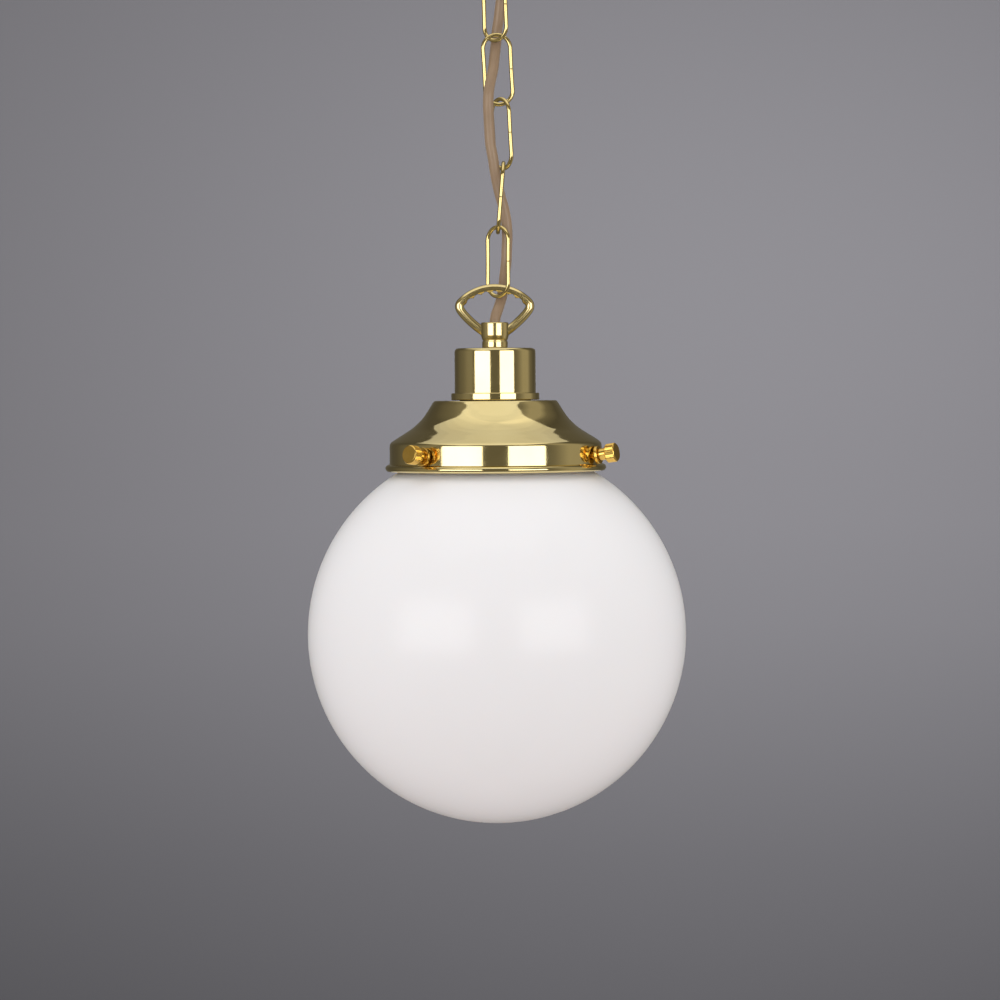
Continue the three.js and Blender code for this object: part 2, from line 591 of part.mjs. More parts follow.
// The three cores leave the end of the sheath side by side and fan out to the ways of the block.
const CORES = [
  { colour: 0x5b3a24, startDeg: 240, middle: [[7.5, 8, -22], [-4, 15.5, -21.5]] },
  { colour: 0x2b5ea8, startDeg: 120, middle: [[10.5, 11, -21], [3, 17.6, -20]] },
  { colour: 0x5f9a3a, startDeg: 0, middle: [[15.6, 11.5, -20.5], [11.5, 18, -19.5]] },
];

function buildCores() {
  const spread = 1.3;
  const entry = BLOCK.top - BLOCK.height + 1.5;
  CORES.forEach(({ colour, startDeg, middle }, i) => {
    const angle = THREE.MathUtils.degToRad(startDeg);
    const [x, y] = [BUSH.x + spread * Math.cos(angle), BUSH.y + spread * Math.sin(angle)];
    const way = (i - 1) * BLOCK.pitch;
    const route = [[x, y, FLEX_ROUTE[0][2] + GAP], [x, y, -22.6], ...middle, [way, BLOCK.y, -17.5],
      [way, BLOCK.y, entry]];
    const core = tube(openCurve(route), FLEX.coreR, FLEX.coreSides, 10);
    addPart(pendant, `rose_core_${i + 1}`, core, coreSheath(colour));
  });
}

function placeFitting() {
  const ends = linkEnds();
  const lowest = ends[ends.length - 1].bottom;
  const wireTop = lowest + CHAIN.wireR;
  fitting.position.z = wireTop + LOOP.crossingGap - BAR_LOW;
}

buildRose();
buildChain();
addPart(fitting, 'lamp_loop', lampLoopGeometry(), goldPlate());
buildHolder();
addPart(fitting, 'gallery', galleryGeometry(), polishedBrass());
buildThumbscrews();
addPart(fitting, 'globe', globeGeometry(), opalGlass());
buildBulb();
buildFlex();
buildCores();
placeFitting();

export default pendant;
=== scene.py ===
"""Looks of a pendant ceiling light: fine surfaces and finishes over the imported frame.

Every length is in metres, in the frame's own axes: +Z up, with the ceiling at z = 0. Heights inside the
fitting are counted from the centre of its globe.
"""

import json
import logging
import math
from dataclasses import dataclass, field
from enum import Enum

import bmesh
import bpy
import numpy as np
from mathutils import Euler, Matrix, Vector

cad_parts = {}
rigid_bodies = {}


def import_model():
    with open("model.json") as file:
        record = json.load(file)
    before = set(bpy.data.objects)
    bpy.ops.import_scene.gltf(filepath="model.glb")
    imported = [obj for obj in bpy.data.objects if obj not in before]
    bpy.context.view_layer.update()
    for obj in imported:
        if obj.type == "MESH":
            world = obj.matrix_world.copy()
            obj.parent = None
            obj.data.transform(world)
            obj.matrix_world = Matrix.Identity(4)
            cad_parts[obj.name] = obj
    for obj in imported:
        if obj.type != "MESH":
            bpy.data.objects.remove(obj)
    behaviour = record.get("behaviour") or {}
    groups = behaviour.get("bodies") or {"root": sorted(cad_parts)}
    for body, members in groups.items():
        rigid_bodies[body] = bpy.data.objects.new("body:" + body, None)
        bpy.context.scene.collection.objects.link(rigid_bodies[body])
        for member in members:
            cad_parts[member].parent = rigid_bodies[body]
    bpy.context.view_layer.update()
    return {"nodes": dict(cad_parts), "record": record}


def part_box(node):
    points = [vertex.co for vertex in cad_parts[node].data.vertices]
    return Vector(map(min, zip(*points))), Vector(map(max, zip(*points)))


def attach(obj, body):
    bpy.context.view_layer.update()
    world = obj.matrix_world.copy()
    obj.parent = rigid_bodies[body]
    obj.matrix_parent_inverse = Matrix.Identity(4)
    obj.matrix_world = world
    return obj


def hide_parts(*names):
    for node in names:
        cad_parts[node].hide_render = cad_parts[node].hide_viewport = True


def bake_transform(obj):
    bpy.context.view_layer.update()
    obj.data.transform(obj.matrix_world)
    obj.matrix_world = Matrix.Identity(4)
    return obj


MM = 0.001
GAP = 0.3 * MM
LOG = logging.getLogger("pendant")
MERGE_DISTANCE = 2e-6
CLOSED_TIP_RADIUS = 1e-7
LEAST_RADIUS = 1e-6
LONGEST_REACH = 0.49
KNURL_STEP = 0.2 * MM
KNURL_RUN_OUT = 0.15 * MM
UP = np.array([0.0, 0.0, 1.0])

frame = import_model()


# ------------------------------------------------------------------ array geometry
class Smoothing(Enum):
    """How a piece's faces are shaded: the angle above which an edge stays sharp."""

    SOFT = 50.0
    CRISP = 28.0


@dataclass
class Surface:
    """Vertices and faces worked out as whole arrays."""

    points: np.ndarray
    quads: np.ndarray
    uv: np.ndarray | None = None

    def moved(self, matrix: np.ndarray) -> "Surface":
        """Returns the surface carried by a 4 by 4 matrix."""
        points = self.points @ matrix[:3, :3].T + matrix[:3, 3]
        return Surface(points, self.quads, self.uv)

    def raised(self, height: float) -> "Surface":
        """Returns the surface lifted by a height."""
        return Surface(self.points + height * UP, self.quads, self.uv)

    def drawn_in(self, depth: np.ndarray) -> "Surface":
        """Returns the surface with each point moved towards the Z axis by its own depth."""
        x, y, z = self.points.T
        scale = 1.0 - depth / np.maximum(np.hypot(x, y), LEAST_RADIUS)
        return Surface(np.stack([x * scale, y * scale, z], axis=-1), self.quads, self.uv)


def join(*surfaces: Surface) -> Surface:
    """Puts closed shells side by side in one surface.

    Args:
        surfaces: The shells.

    Returns:
        One surface that holds them all.
    """
    starts = np.cumsum([0] + [len(s.points) for s in surfaces[:-1]])
    quads = np.concatenate([s.quads + start for s, start in zip(surfaces, starts)])
    return Surface(np.concatenate([s.points for s in surfaces]), quads)


def grid_quads(rows: int, columns: int, close_rows: bool, close_columns: bool) -> np.ndarray:
    """Corner numbers of a grid's faces: (i, j), (i, j+1), (i+1, j+1), (i+1, j), wrapping where it closes.

    Args:
        rows: Points along the first parameter.
        columns: Points along the second parameter.
        close_rows: Whether the last row joins the first.
        close_columns: Whether the last column joins the first.

    Returns:
        An array with four corner numbers a row.
    """
    i = np.arange(rows if close_rows else rows - 1)[:, None]
    j = np.arange(columns if close_columns else columns - 1)[None, :]
    i_next, j_next = (i + 1) % rows, (j + 1) % columns
    corners = [i * columns + j, i * columns + j_next, i_next * columns + j_next, i_next * columns + j]
    return np.stack(corners, axis=-1).reshape(-1, 4)


def revolve(profile: np.ndarray, segments: int, closed: bool = False) -> Surface:
    """Turns a profile about Z: each point (r, z) becomes (r cos a, r sin a, z) for a round the circle.

    Args:
        profile: Radius and height of each point.
        segments: Steps round the axis.
        closed: Whether the profile closes on itself.

    Returns:
        The surface; a profile that ends on the axis closes there.
    """
    angle = np.linspace(0.0, 2.0 * np.pi, segments, endpoint=False)
    r, z = profile[:, :1], profile[:, 1:]
    points = np.stack([r * np.cos(angle), r * np.sin(angle), z + 0.0 * angle], axis=-1)
    return Surface(points.reshape(-1, 3), grid_quads(len(profile), segments, closed, True))


def rounded(corners: list[tuple[float, float, float]], closed: bool = True, steps: int = 6) -> np.ndarray:
    """Replaces each corner (r, z, radius) of an outline by an arc that touches both of its sides.

    The arc is the part of a circle of that radius between its two points of contact, which lie
    radius / tan(half the corner's angle) from the corner, and never past the middle of a side.

    Args:
        corners: Outline corners with the radius of each.
        closed: Whether the outline closes on itself.
        steps: Points on each arc.

    Returns:
        The rounded outline.
    """
    xy = np.array([c[:2] for c in corners], float)
    radii = np.array([c[2] for c in corners], float)
    before = np.roll(xy, 1, axis=0) - xy
    after = np.roll(xy, -1, axis=0) - xy
    before_length = np.linalg.norm(before, axis=1, keepdims=True)
    after_length = np.linalg.norm(after, axis=1, keepdims=True)
    u, v = before / before_length, after / after_length
    half = 0.5 * np.arccos(np.clip((u * v).sum(1), -0.999999, 0.999999))
    reach = np.minimum(radii / np.tan(half), LONGEST_REACH * np.minimum(before_length, after_length)[:, 0])
    t = np.linspace(0.0, 1.0, steps)[None, :, None]
    start, end = (xy + u * reach[:, None])[:, None], (xy + v * reach[:, None])[:, None]
    weight = np.cos(np.pi / 2 - half)[:, None, None]
    near, mid, far = (1 - t) ** 2, 2 * t * (1 - t) * weight, t**2
    arcs = (near * start + mid * xy[:, None] + far * end) / (near + mid + far)
    bends = reach > 0.0
    if not closed:
        bends[[0, -1]] = False
    return np.concatenate([curve if bent else corner[None] for curve, bent, corner in zip(arcs, bends, xy)])


def upright(radius: float, heights: np.ndarray) -> np.ndarray:
    """Points (radius, height) up a straight wall."""
    return np.column_stack([np.full_like(heights, radius), heights])


def arc(
    centre: tuple[float, float], radius: float, start_deg: float, end_deg: float, steps: int
) -> np.ndarray:
    """Points (x + R cos a, y + R sin a) with a running evenly from start to end."""
    angle = np.radians(np.linspace(start_deg, end_deg, steps))
    return np.stack([centre[0] + radius * np.cos(angle), centre[1] + radius * np.sin(angle)], axis=-1)


def offset(profile: np.ndarray, distance: float) -> np.ndarray:
    """Shifts an open profile to the left of its direction of travel, along its own normals.

    Args:
        profile: Points in order.
        distance: How far to the left.

    Returns:
        The shifted points.
    """
    tangent = np.gradient(profile, axis=0)
    tangent /= np.linalg.norm(tangent, axis=1, keepdims=True)
    normal = np.stack([-tangent[:, 1], tangent[:, 0]], axis=-1)
    return profile + distance * normal


def centripetal(points: np.ndarray, samples: int) -> np.ndarray:
    """A smooth curve through points: cubic pieces with end slopes from square-root chord spacing.

    For each piece between b and c, with neighbours a and d and spacings equal to the square roots of the
    chords, the slopes are those of the non-uniform Catmull-Rom spline, and the piece is the cubic with
    those ends and slopes.

    Args:
        points: The points to pass through.
        samples: Points made on each piece.

    Returns:
        The curve, with samples + 1 points on the last piece.
    """
    p = np.vstack([2 * points[0] - points[1], points, 2 * points[-1] - points[-2]])
    spacing = np.sqrt(np.linalg.norm(np.diff(p, axis=0), axis=1))[:, None]
    a, b, c, d = p[:-3], p[1:-2], p[2:-1], p[3:]
    s0, s1, s2 = spacing[:-2], spacing[1:-1], spacing[2:]
    slope_b = ((b - a) / s0 - (c - a) / (s0 + s1) + (c - b) / s1) * s1
    slope_c = ((c - b) / s1 - (d - b) / (s1 + s2) + (d - c) / s2) * s1
    t = np.linspace(0.0, 1.0, samples, endpoint=False)[None, :, None]
    b, c, slope_b, slope_c = b[:, None], c[:, None], slope_b[:, None], slope_c[:, None]
    cubic = (2 * b - 2 * c + slope_b + slope_c) * t**3 + (3 * c - 3 * b - 2 * slope_b - slope_c) * t**2
    curve = (cubic + slope_b * t + b).reshape(-1, 3)
    return np.vstack([curve, points[-1:]])


def sweep(
    path: np.ndarray,
    radius: np.ndarray | float,
    sides: int,
    across: np.ndarray,
    closed: bool = False,
    tangent: np.ndarray | None = None,
) -> Surface:
    """Carries a circle along a path: point + radius (cos a N + sin a B), with N and B square to the tangent.

    N is the tangent crossed with a fixed direction, so the tube never twists; B completes the frame.
    An open path is closed at each end by a ring drawn in to its middle.

    Args:
        path: Centres of the rings.
        radius: Radius of each ring, or of all.
        sides: Points round each ring.
        across: A direction that the path never follows.
        closed: Whether the path closes on itself.
        tangent: The path's direction at each ring, where it is part of a longer line.

    Returns:
        The tube, with a UV of turns round it and metres along it.
    """
    if closed:
        tangent = np.roll(path, -1, axis=0) - np.roll(path, 1, axis=0)
    elif tangent is None:
        tangent = np.gradient(path, axis=0)
    unit = tangent / np.linalg.norm(tangent, axis=1, keepdims=True)
    normal = np.cross(unit, across)
    normal /= np.linalg.norm(normal, axis=1, keepdims=True)
    binormal = np.cross(unit, normal)
    ring_radius = np.broadcast_to(radius, len(path)).astype(float)
    along = np.concatenate([[0.0], np.cumsum(np.linalg.norm(np.diff(path, axis=0), axis=1))])
    if not closed:
        ends = [0, *range(len(path)), len(path) - 1]
        path, normal, binormal, along = path[ends], normal[ends], binormal[ends], along[ends]
        ring_radius = np.concatenate([[CLOSED_TIP_RADIUS], ring_radius, [CLOSED_TIP_RADIUS]])
    angle = np.linspace(0.0, 2.0 * np.pi, sides, endpoint=False)
    turn = angle[None, :, None]
    spoke = np.cos(turn) * normal[:, None] + np.sin(turn) * binormal[:, None]
    points = path[:, None] + ring_radius[:, None, None] * spoke
    uv = np.stack(np.broadcast_arrays(angle[None, :] / (2 * np.pi), along[:, None]), axis=-1)
    return Surface(points.reshape(-1, 3), grid_quads(len(path), sides, closed, True), uv.reshape(-1, 2))


def make_object(name: str, surface: Surface, smoothing: Smoothing = Smoothing.CRISP) -> bpy.types.Object:
    """Puts a surface into a mesh object, with its doubles merged and its faces pointing out.

    Args:
        name: The object's name.
        surface: The points and faces.
        smoothing: The shading's sharp angle.

    Returns:
        The object, linked to the scene.
    """
    mesh = bpy.data.meshes.new(name)
    mesh.from_pydata(surface.points.tolist(), [], surface.quads.tolist())
    if surface.uv is not None:
        layer = mesh.uv_layers.new(name="UVMap")
        corners = np.zeros(len(mesh.loops), np.int32)
        mesh.loops.foreach_get("vertex_index", corners)
        uv = surface.uv[corners]
        wrapped = uv.reshape(-1, 4, 2)
        seam = (wrapped[:, :, 0].max(1) - wrapped[:, :, 0].min(1)) > 0.5
        wrapped[seam, :, 0] += wrapped[seam, :, 0] < 0.5
        layer.data.foreach_set("uv", wrapped.reshape(-1).astype(np.float32))
    shape = bmesh.new()
    shape.from_mesh(mesh)
    bmesh.ops.remove_doubles(shape, verts=shape.verts, dist=MERGE_DISTANCE)
    bmesh.ops.recalc_face_normals(shape, faces=shape.faces)
    shape.to_mesh(mesh)
    shape.free()
    mesh.shade_smooth()
    mesh.set_sharp_from_angle(angle=math.radians(smoothing.value))
    thing = bpy.data.objects.new(name, mesh)
    bpy.context.scene.collection.objects.link(thing)
    return thing


def refined(outline: np.ndarray, step: float, closed: bool = True) -> np.ndarray:
    """Adds points to the long sides of an outline: each side is cut into equal parts no longer than a step.

    Args:
        outline: Points in order.
        step: The longest part allowed.
        closed: Whether the last point joins the first.

    Returns:
        The outline with its added points.
    """
    starts, ends = (outline, np.roll(outline, -1, axis=0)) if closed else (outline[:-1], outline[1:])
    counts = np.maximum(1, np.ceil(np.linalg.norm(ends - starts, axis=1) / step)).astype(int)
    side = np.repeat(np.arange(len(starts)), counts)
    within = np.arange(counts.sum()) - np.repeat(np.cumsum(counts) - counts, counts)
    part = (within / counts[side])[:, None]
    points = starts[side] * (1 - part) + ends[side] * part
    return points if closed else np.vstack([points, outline[-1:]])


def turned_knurl(
    profile: np.ndarray, teeth: int, depth: float, low: float, high: float, segments: int
) -> Surface:
    """A turned piece with a knurled band: its radius there dips by a triangle wave of the angle.

    Args:
        profile: The closed profile before knurling.
        teeth: Ridges round the band.
        depth: Depth of the grooves.
        low: Lowest height of the band.
        high: Highest height of the band.
        segments: Steps round the axis.

    Returns:
        The knurled surface.
    """
    surface = revolve(refined(profile, KNURL_STEP), segments, closed=True)
    x, y, z = surface.points.T
    radius = np.hypot(x, y)
    wave = np.abs(((np.arctan2(y, x) * teeth / (2 * np.pi)) % 1.0) * 2.0 - 1.0)
    outside = radius > 0.93 * radius.max()
    band = np.clip(np.minimum(z - low, high - z) / KNURL_RUN_OUT + 1.0, 0.0, 1.0) * outside
    return surface.drawn_in(depth * wave * band)


# ------------------------------------------------------------------ finishes
Colour = tuple[float, float, float]


class NodeTree:
    """A short hand for adding nodes to a shader tree."""

    def __init__(self, tree: bpy.types.NodeTree) -> None:
        """Takes the tree to add to."""
        self.nodes, self.links = tree.nodes, tree.links

    def fill(self, socket: bpy.types.NodeSocket, value: object) -> None:
        """Links a socket to another one, or sets it to a value; a colour's alpha is added."""
        if isinstance(value, bpy.types.NodeSocket):
            self.links.new(value, socket)
        else:
            socket.default_value = (*value, 1.0) if socket.type == "RGBA" else value

    def node(self, kind: str, **inputs: object) -> bpy.types.Node:
        """Adds a node and fills its inputs with values or links.

        Args:
            kind: The node's type without its prefix.
            inputs: Input names, with underscores for spaces, and what goes in.

        Returns:
            The node.
        """
        made = self.nodes.new("ShaderNode" + kind)
        for name, value in inputs.items():
            self.fill(made.inputs[name.replace("_", " ")], value)
        return made

    def math(self, operation: str, first: object, second: object = 0.0) -> bpy.types.NodeSocket:
        """A Math node's result."""
        made = self.nodes.new("ShaderNodeMath")
        made.operation = operation
        for socket, value in zip(made.inputs, (first, second)):
            self.fill(socket, value)
        return made.outputs[0]

    def mix(self, factor: bpy.types.NodeSocket, first: object, second: object) -> bpy.types.NodeSocket:
        """Mixes two colours, each a value or a socket, by a factor."""
        made = self.nodes.new("ShaderNodeMix")
        made.data_type = "RGBA"
        for name, value in (("Factor", factor), ("A", first), ("B", second)):
            self.fill(made.inputs[name], value)
        return made.outputs["Result"]

    def colours(
        self, place: bpy.types.NodeSocket, stops: list[tuple[float, Colour]]
    ) -> bpy.types.NodeSocket:
        """A colour ramp's result.

        Args:
            place: Where along the ramp, from 0 to 1.
            stops: The place and colour of each stop, in order.

        Returns:
            The colour.
        """
        made = self.node("ValToRGB", Fac=place)
        band = made.color_ramp
        for element, (position, colour) in zip(band.elements[:2], (stops[0], stops[-1])):
            element.position, element.color = position, (*colour, 1.0)
        for position, colour in stops[1:-1]:
            band.elements.new(position).color = (*colour, 1.0)
        return made.outputs["Color"]


class Graph(NodeTree):
    """A short hand for building one material's nodes."""

    def __init__(self, name: str) -> None:
        """Starts an empty Principled material."""
        self.material = bpy.data.materials.new(name)
        self.material.use_nodes = True
        super().__init__(self.material.node_tree)
        self.shader = self.nodes["Principled BSDF"]
        self.coordinates = self.nodes.new("ShaderNodeTexCoord")

    def set(self, **values: object) -> "Graph":
        """Sets constant values on the shader's own sockets; underscores stand for spaces."""
        for name, value in values.items():
            self.shader.inputs[name.replace("_", " ")].default_value = value
        return self

    def feed(self, socket: str, value: bpy.types.NodeSocket) -> None:
        """Links a value to one of the shader's inputs."""
        self.links.new(value, self.shader.inputs[socket])

    def noise(
        self, scale: float, detail: float = 3.0, vector: bpy.types.NodeSocket | None = None
    ) -> bpy.types.NodeSocket:
        """Noise on the object's own coordinates, or on a given vector."""
        source = self.coordinates.outputs["Object"] if vector is None else vector
        return self.node("TexNoise", Vector=source, Scale=scale, Detail=detail).outputs["Fac"]

    def spread(
        self, value: bpy.types.NodeSocket, low: float = 0.0, high: float = 1.0
    ) -> bpy.types.NodeSocket:
        """Maps the middle of a noise, 0.3 to 0.7, on to low to high."""
        made = self.node("MapRange", Value=value, From_Min=0.3, From_Max=0.7, To_Min=low, To_Max=high)
        return made.outputs["Result"]

    def bump(self, height: bpy.types.NodeSocket, strength: float, distance: float) -> None:
        """Adds a bump of that strength and depth, in metres, to the shader."""
        made = self.node("Bump", Height=height, Strength=strength, Distance=distance)
        self.feed("Normal", made.outputs["Normal"])

    def spin_rings(self, scale: float) -> bpy.types.NodeSocket:
        """Noise that depends only on the distance from the Z axis and on height, as a spinning tool leaves."""
        parts = self.node("SeparateXYZ", Vector=self.coordinates.outputs["Object"]).outputs
        square = self.math("ADD", self.math("POWER", parts["X"], 2.0), self.math("POWER", parts["Y"], 2.0))
        ring = self.node("CombineXYZ", X=self.math("SQRT", square), Z=parts["Z"])
        return self.noise(scale, 2.0, ring.outputs["Vector"])


@dataclass(frozen=True)
class PolishedMetal:
    """Polished or plated metal: clouded tone, faint smears in the gloss and fine tool marks."""

    light: Colour
    dark: Colour
    gloss: tuple[float, float]
    cloud_scale: float = 60.0
    mark_scale: float = 2600.0
    mark_depth: float = 0.4e-6
    spun: bool = False

    def build(self, name: str) -> bpy.types.Material:
        """Returns the finished material under a name."""
        graph = Graph(name).set(Metallic=1.0, IOR=1.45)
        cloud = graph.noise(self.cloud_scale, 4.0)
        graph.feed("Base Color", graph.mix(graph.spread(cloud), self.light, self.dark))
        smear = graph.noise(self.cloud_scale * 3.1, 5.0)
        graph.feed("Roughness", graph.spread(smear, *self.gloss))
        marks = graph.spin_rings(self.mark_scale) if self.spun else graph.noise(self.mark_scale, 2.0)
        graph.bump(marks, 0.12, self.mark_depth)
        return graph.material


@dataclass(frozen=True)
class OpalGlass:
    """Cased white glass: a milky body with a clear, fire-polished skin that ripples very slightly."""

    light: Colour
    shade: Colour

    def build(self, name: str) -> bpy.types.Material:
        """Returns the finished material under a name."""
        graph = Graph(name).set(IOR=1.5, Specular_IOR_Level=0.26)
        graph.set(Subsurface_Weight=0.2, Subsurface_Scale=MM, Subsurface_Radius=(1.0, 0.85, 0.75))
        cloud = graph.noise(9.0, 2.0)
        graph.feed("Base Color", graph.mix(graph.spread(cloud), self.light, self.shade))
        graph.feed("Roughness", graph.spread(graph.noise(40.0, 3.0), 0.2, 0.26))
        graph.bump(graph.noise(14.0, 1.0), 0.05, 0.00012)
        return graph.material


@dataclass(frozen=True)
class MouldedPlastic:
    """Moulded or glazed material: even colour with a faint cloud, fine texture and its own gloss."""

    light: Colour
    dark: Colour
    gloss: tuple[float, float]
    grain_scale: float = 1500.0
    grain_depth: float = 4.0e-6
    coat: float = 0.0

    def build(self, name: str) -> bpy.types.Material:
        """Returns the finished material under a name."""
        graph = Graph(name).set(IOR=1.5, Coat_Weight=self.coat, Coat_Roughness=0.05)
        graph.feed("Base Color", graph.mix(graph.spread(graph.noise(220.0, 3.0)), self.light, self.dark))
        graph.feed("Roughness", graph.spread(graph.noise(500.0, 3.0), *self.gloss))
        graph.bump(graph.noise(self.grain_scale, 2.0), 0.25, self.grain_depth)
        return graph.material


@dataclass(frozen=True)
class FlexSheath:
    """Drawn sheath of a round flex: satin, with faint lengthwise die lines from its own UV map."""

    light: Colour
    dark: Colour
    gloss: tuple[float, float] = (0.34, 0.46)
    stripe: Colour | None = None

    def build(self, name: str) -> bpy.types.Material:
        """Returns the finished material under a name."""
        graph = Graph(name).set(IOR=1.5, Sheen_Weight=0.08, Coat_Weight=0.12, Coat_Roughness=0.3)
        along = graph.coordinates.outputs["UV"]
        stretch = graph.node("Mapping", Vector=along, Scale=(14.0, 30.0, 1.0))
        lines = graph.noise(3.0, 3.0, stretch.outputs["Vector"])
        cloud = graph.math("ADD", lines, graph.noise(120.0, 4.0))
        colour = graph.mix(graph.spread(graph.math("MULTIPLY", cloud, 0.5)), self.light, self.dark)
        if self.stripe is not None:
            turns = graph.math("MULTIPLY", graph.node("SeparateXYZ", Vector=along).outputs["X"], 2.0)
            band = graph.math("GREATER_THAN", graph.math("FRACT", turns), 0.6)
            colour = graph.mix(band, colour, self.stripe)
        graph.feed("Base Color", colour)
        graph.feed("Roughness", graph.spread(lines, *self.gloss))
        graph.bump(lines, 0.2, 6.0e-6)
        return graph.material


class Finish(Enum):
    """The finishes of this light, by the record's material slot."""

    POLISHED_BRASS = "polished_brass"
    GOLD_PLATE = "gold_plate"
    SATIN_GOLD = "satin_gold"
    LACQUERED_BRASS = "lacquered_brass"
    CAST_BRASS = "cast_brass"
    ZINC_STEEL = "zinc_steel"
    OPAL_GLASS = "opal_glass"
    BULB_GLASS = "bulb_glass"
    FLEX_SHEATH = "flex_sheath"
    BROWN_CORE = "brown_core"
    BLUE_CORE = "blue_core"
    GREEN_CORE = "green_core"
    PHENOLIC = "phenolic"
    PORCELAIN = "porcelain"
    NYLON = "nylon"

    @property
    def slot(self) -> str:
        """The record's slot: the satin casting shares the plated one."""
        return Finish.GOLD_PLATE.value if self is Finish.SATIN_GOLD else self.value


FINISHES: dict[Finish, PolishedMetal | OpalGlass | MouldedPlastic | FlexSheath] = {
    Finish.POLISHED_BRASS: PolishedMetal(
        (0.87, 0.73, 0.37), (0.84, 0.69, 0.33), (0.055, 0.11), 45.0, 1800.0, 0.3e-6, spun=True
    ),
    Finish.GOLD_PLATE: PolishedMetal((0.90, 0.71, 0.31), (0.875, 0.68, 0.275), (0.12, 0.17), 110.0),
    Finish.SATIN_GOLD: PolishedMetal(
        (0.93, 0.76, 0.37), (0.91, 0.73, 0.34), (0.14, 0.20), 110.0, 900.0, 0.9e-6
    ),
    Finish.LACQUERED_BRASS: PolishedMetal((0.95, 0.62, 0.16), (0.91, 0.57, 0.13), (0.16, 0.24), 200.0),
    Finish.CAST_BRASS: PolishedMetal(
        (0.66, 0.46, 0.18), (0.52, 0.34, 0.12), (0.25, 0.42), 300.0, 1500.0, 3e-6
    ),
    Finish.ZINC_STEEL: PolishedMetal(
        (0.62, 0.64, 0.67), (0.48, 0.50, 0.53), (0.24, 0.42), 240.0, 1600.0, 2e-6
    ),
    Finish.OPAL_GLASS: OpalGlass((0.90, 0.885, 0.885), (0.885, 0.87, 0.87)),
    Finish.BULB_GLASS: MouldedPlastic(
        (0.88, 0.87, 0.84), (0.84, 0.83, 0.80), (0.3, 0.4), 1200.0, 2e-6, 0.2
    ),
    Finish.FLEX_SHEATH: FlexSheath((0.34, 0.225, 0.13), (0.285, 0.19, 0.11)),
    Finish.BROWN_CORE: FlexSheath((0.10, 0.045, 0.02), (0.07, 0.03, 0.014)),
    Finish.BLUE_CORE: FlexSheath((0.03, 0.09, 0.36), (0.02, 0.06, 0.27)),
    Finish.GREEN_CORE: FlexSheath((0.10, 0.32, 0.05), (0.07, 0.25, 0.04), stripe=(0.75, 0.62, 0.06)),
    Finish.PHENOLIC: MouldedPlastic((0.020, 0.015, 0.012), (0.012, 0.009, 0.007), (0.25, 0.4)),
    Finish.PORCELAIN: MouldedPlastic(
        (0.80, 0.77, 0.70), (0.73, 0.70, 0.63), (0.18, 0.3), 700.0, 3e-6, 0.5
    ),
    Finish.NYLON: MouldedPlastic((0.78, 0.75, 0.66), (0.70, 0.67, 0.58), (0.38, 0.5)),
}


class Workshop:
    """Dresses pieces and hangs them on the frame's bodies."""

    def __init__(self) -> None:
        """Builds each finish once."""
        self.materials = {finish: recipe.build(finish.value) for finish, recipe in FINISHES.items()}
        self.by_slot = {finish.value: finish for finish in Finish}

    def dress(self, thing: bpy.types.Object, finish: Finish) -> bpy.types.Object:
        """Gives an object one finish, in place of any it had."""
        thing.data.materials.clear()
        thing.data.materials.append(self.materials[finish])
        return thing

    def fit(
        self,
        name: str,
        surface: Surface,
        finish: Finish,
        body: str,
        node: str,
        smoothing: Smoothing = Smoothing.CRISP,
    ) -> bpy.types.Object:
        """Makes a piece that stands for a frame node and rides on its body.

        Args:
            name: The piece's name.
            surface: Its surface.
            finish: Its finish.
            body: The body that carries it.
            node: The node that it stands for.
            smoothing: Its shading.

        Returns:
            The piece.
        """
        thing = self.dress(make_object(name, surface, smoothing), finish)
        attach(thing, body)
        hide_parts(node)
        LOG.info("%s: %d faces on %s", name, len(thing.data.polygons), body)
        return thing

    @staticmethod
    def keep_out_of_mirrors(height: float) -> None:
        """Leaves the pieces that reach above a height out of reflections, so the brass mirrors the room alone.

        Args:
            height: The height, in metres.
        """
        bpy.context.view_layer.update()
        for thing in bpy.data.objects:
            if thing.type == "MESH":
                top = max((thing.matrix_world @ Vector(corner)).z for corner in thing.bound_box)
                thing.visible_glossy = thing.visible_glossy and top <= height

    def dress_frame(self, taken: set[str]) -> None:
        """Gives every frame node that still shows the finish of its slot.

        Args:
            taken: Nodes that a finer piece stands for.
        """
        slots = {entry["node"]: entry["material_slot"] for entry in frame["record"]["subparts"]}
        for node, thing in frame["nodes"].items():
            if node not in taken:
                self.dress(thing, self.by_slot[slots[node]])
                LOG.info("%s keeps its frame shape", node)


GLOBE_CENTRE = float(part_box("globe")[0][2]) + 100.0 * MM
LOOP_FOOT = 151.0 * MM


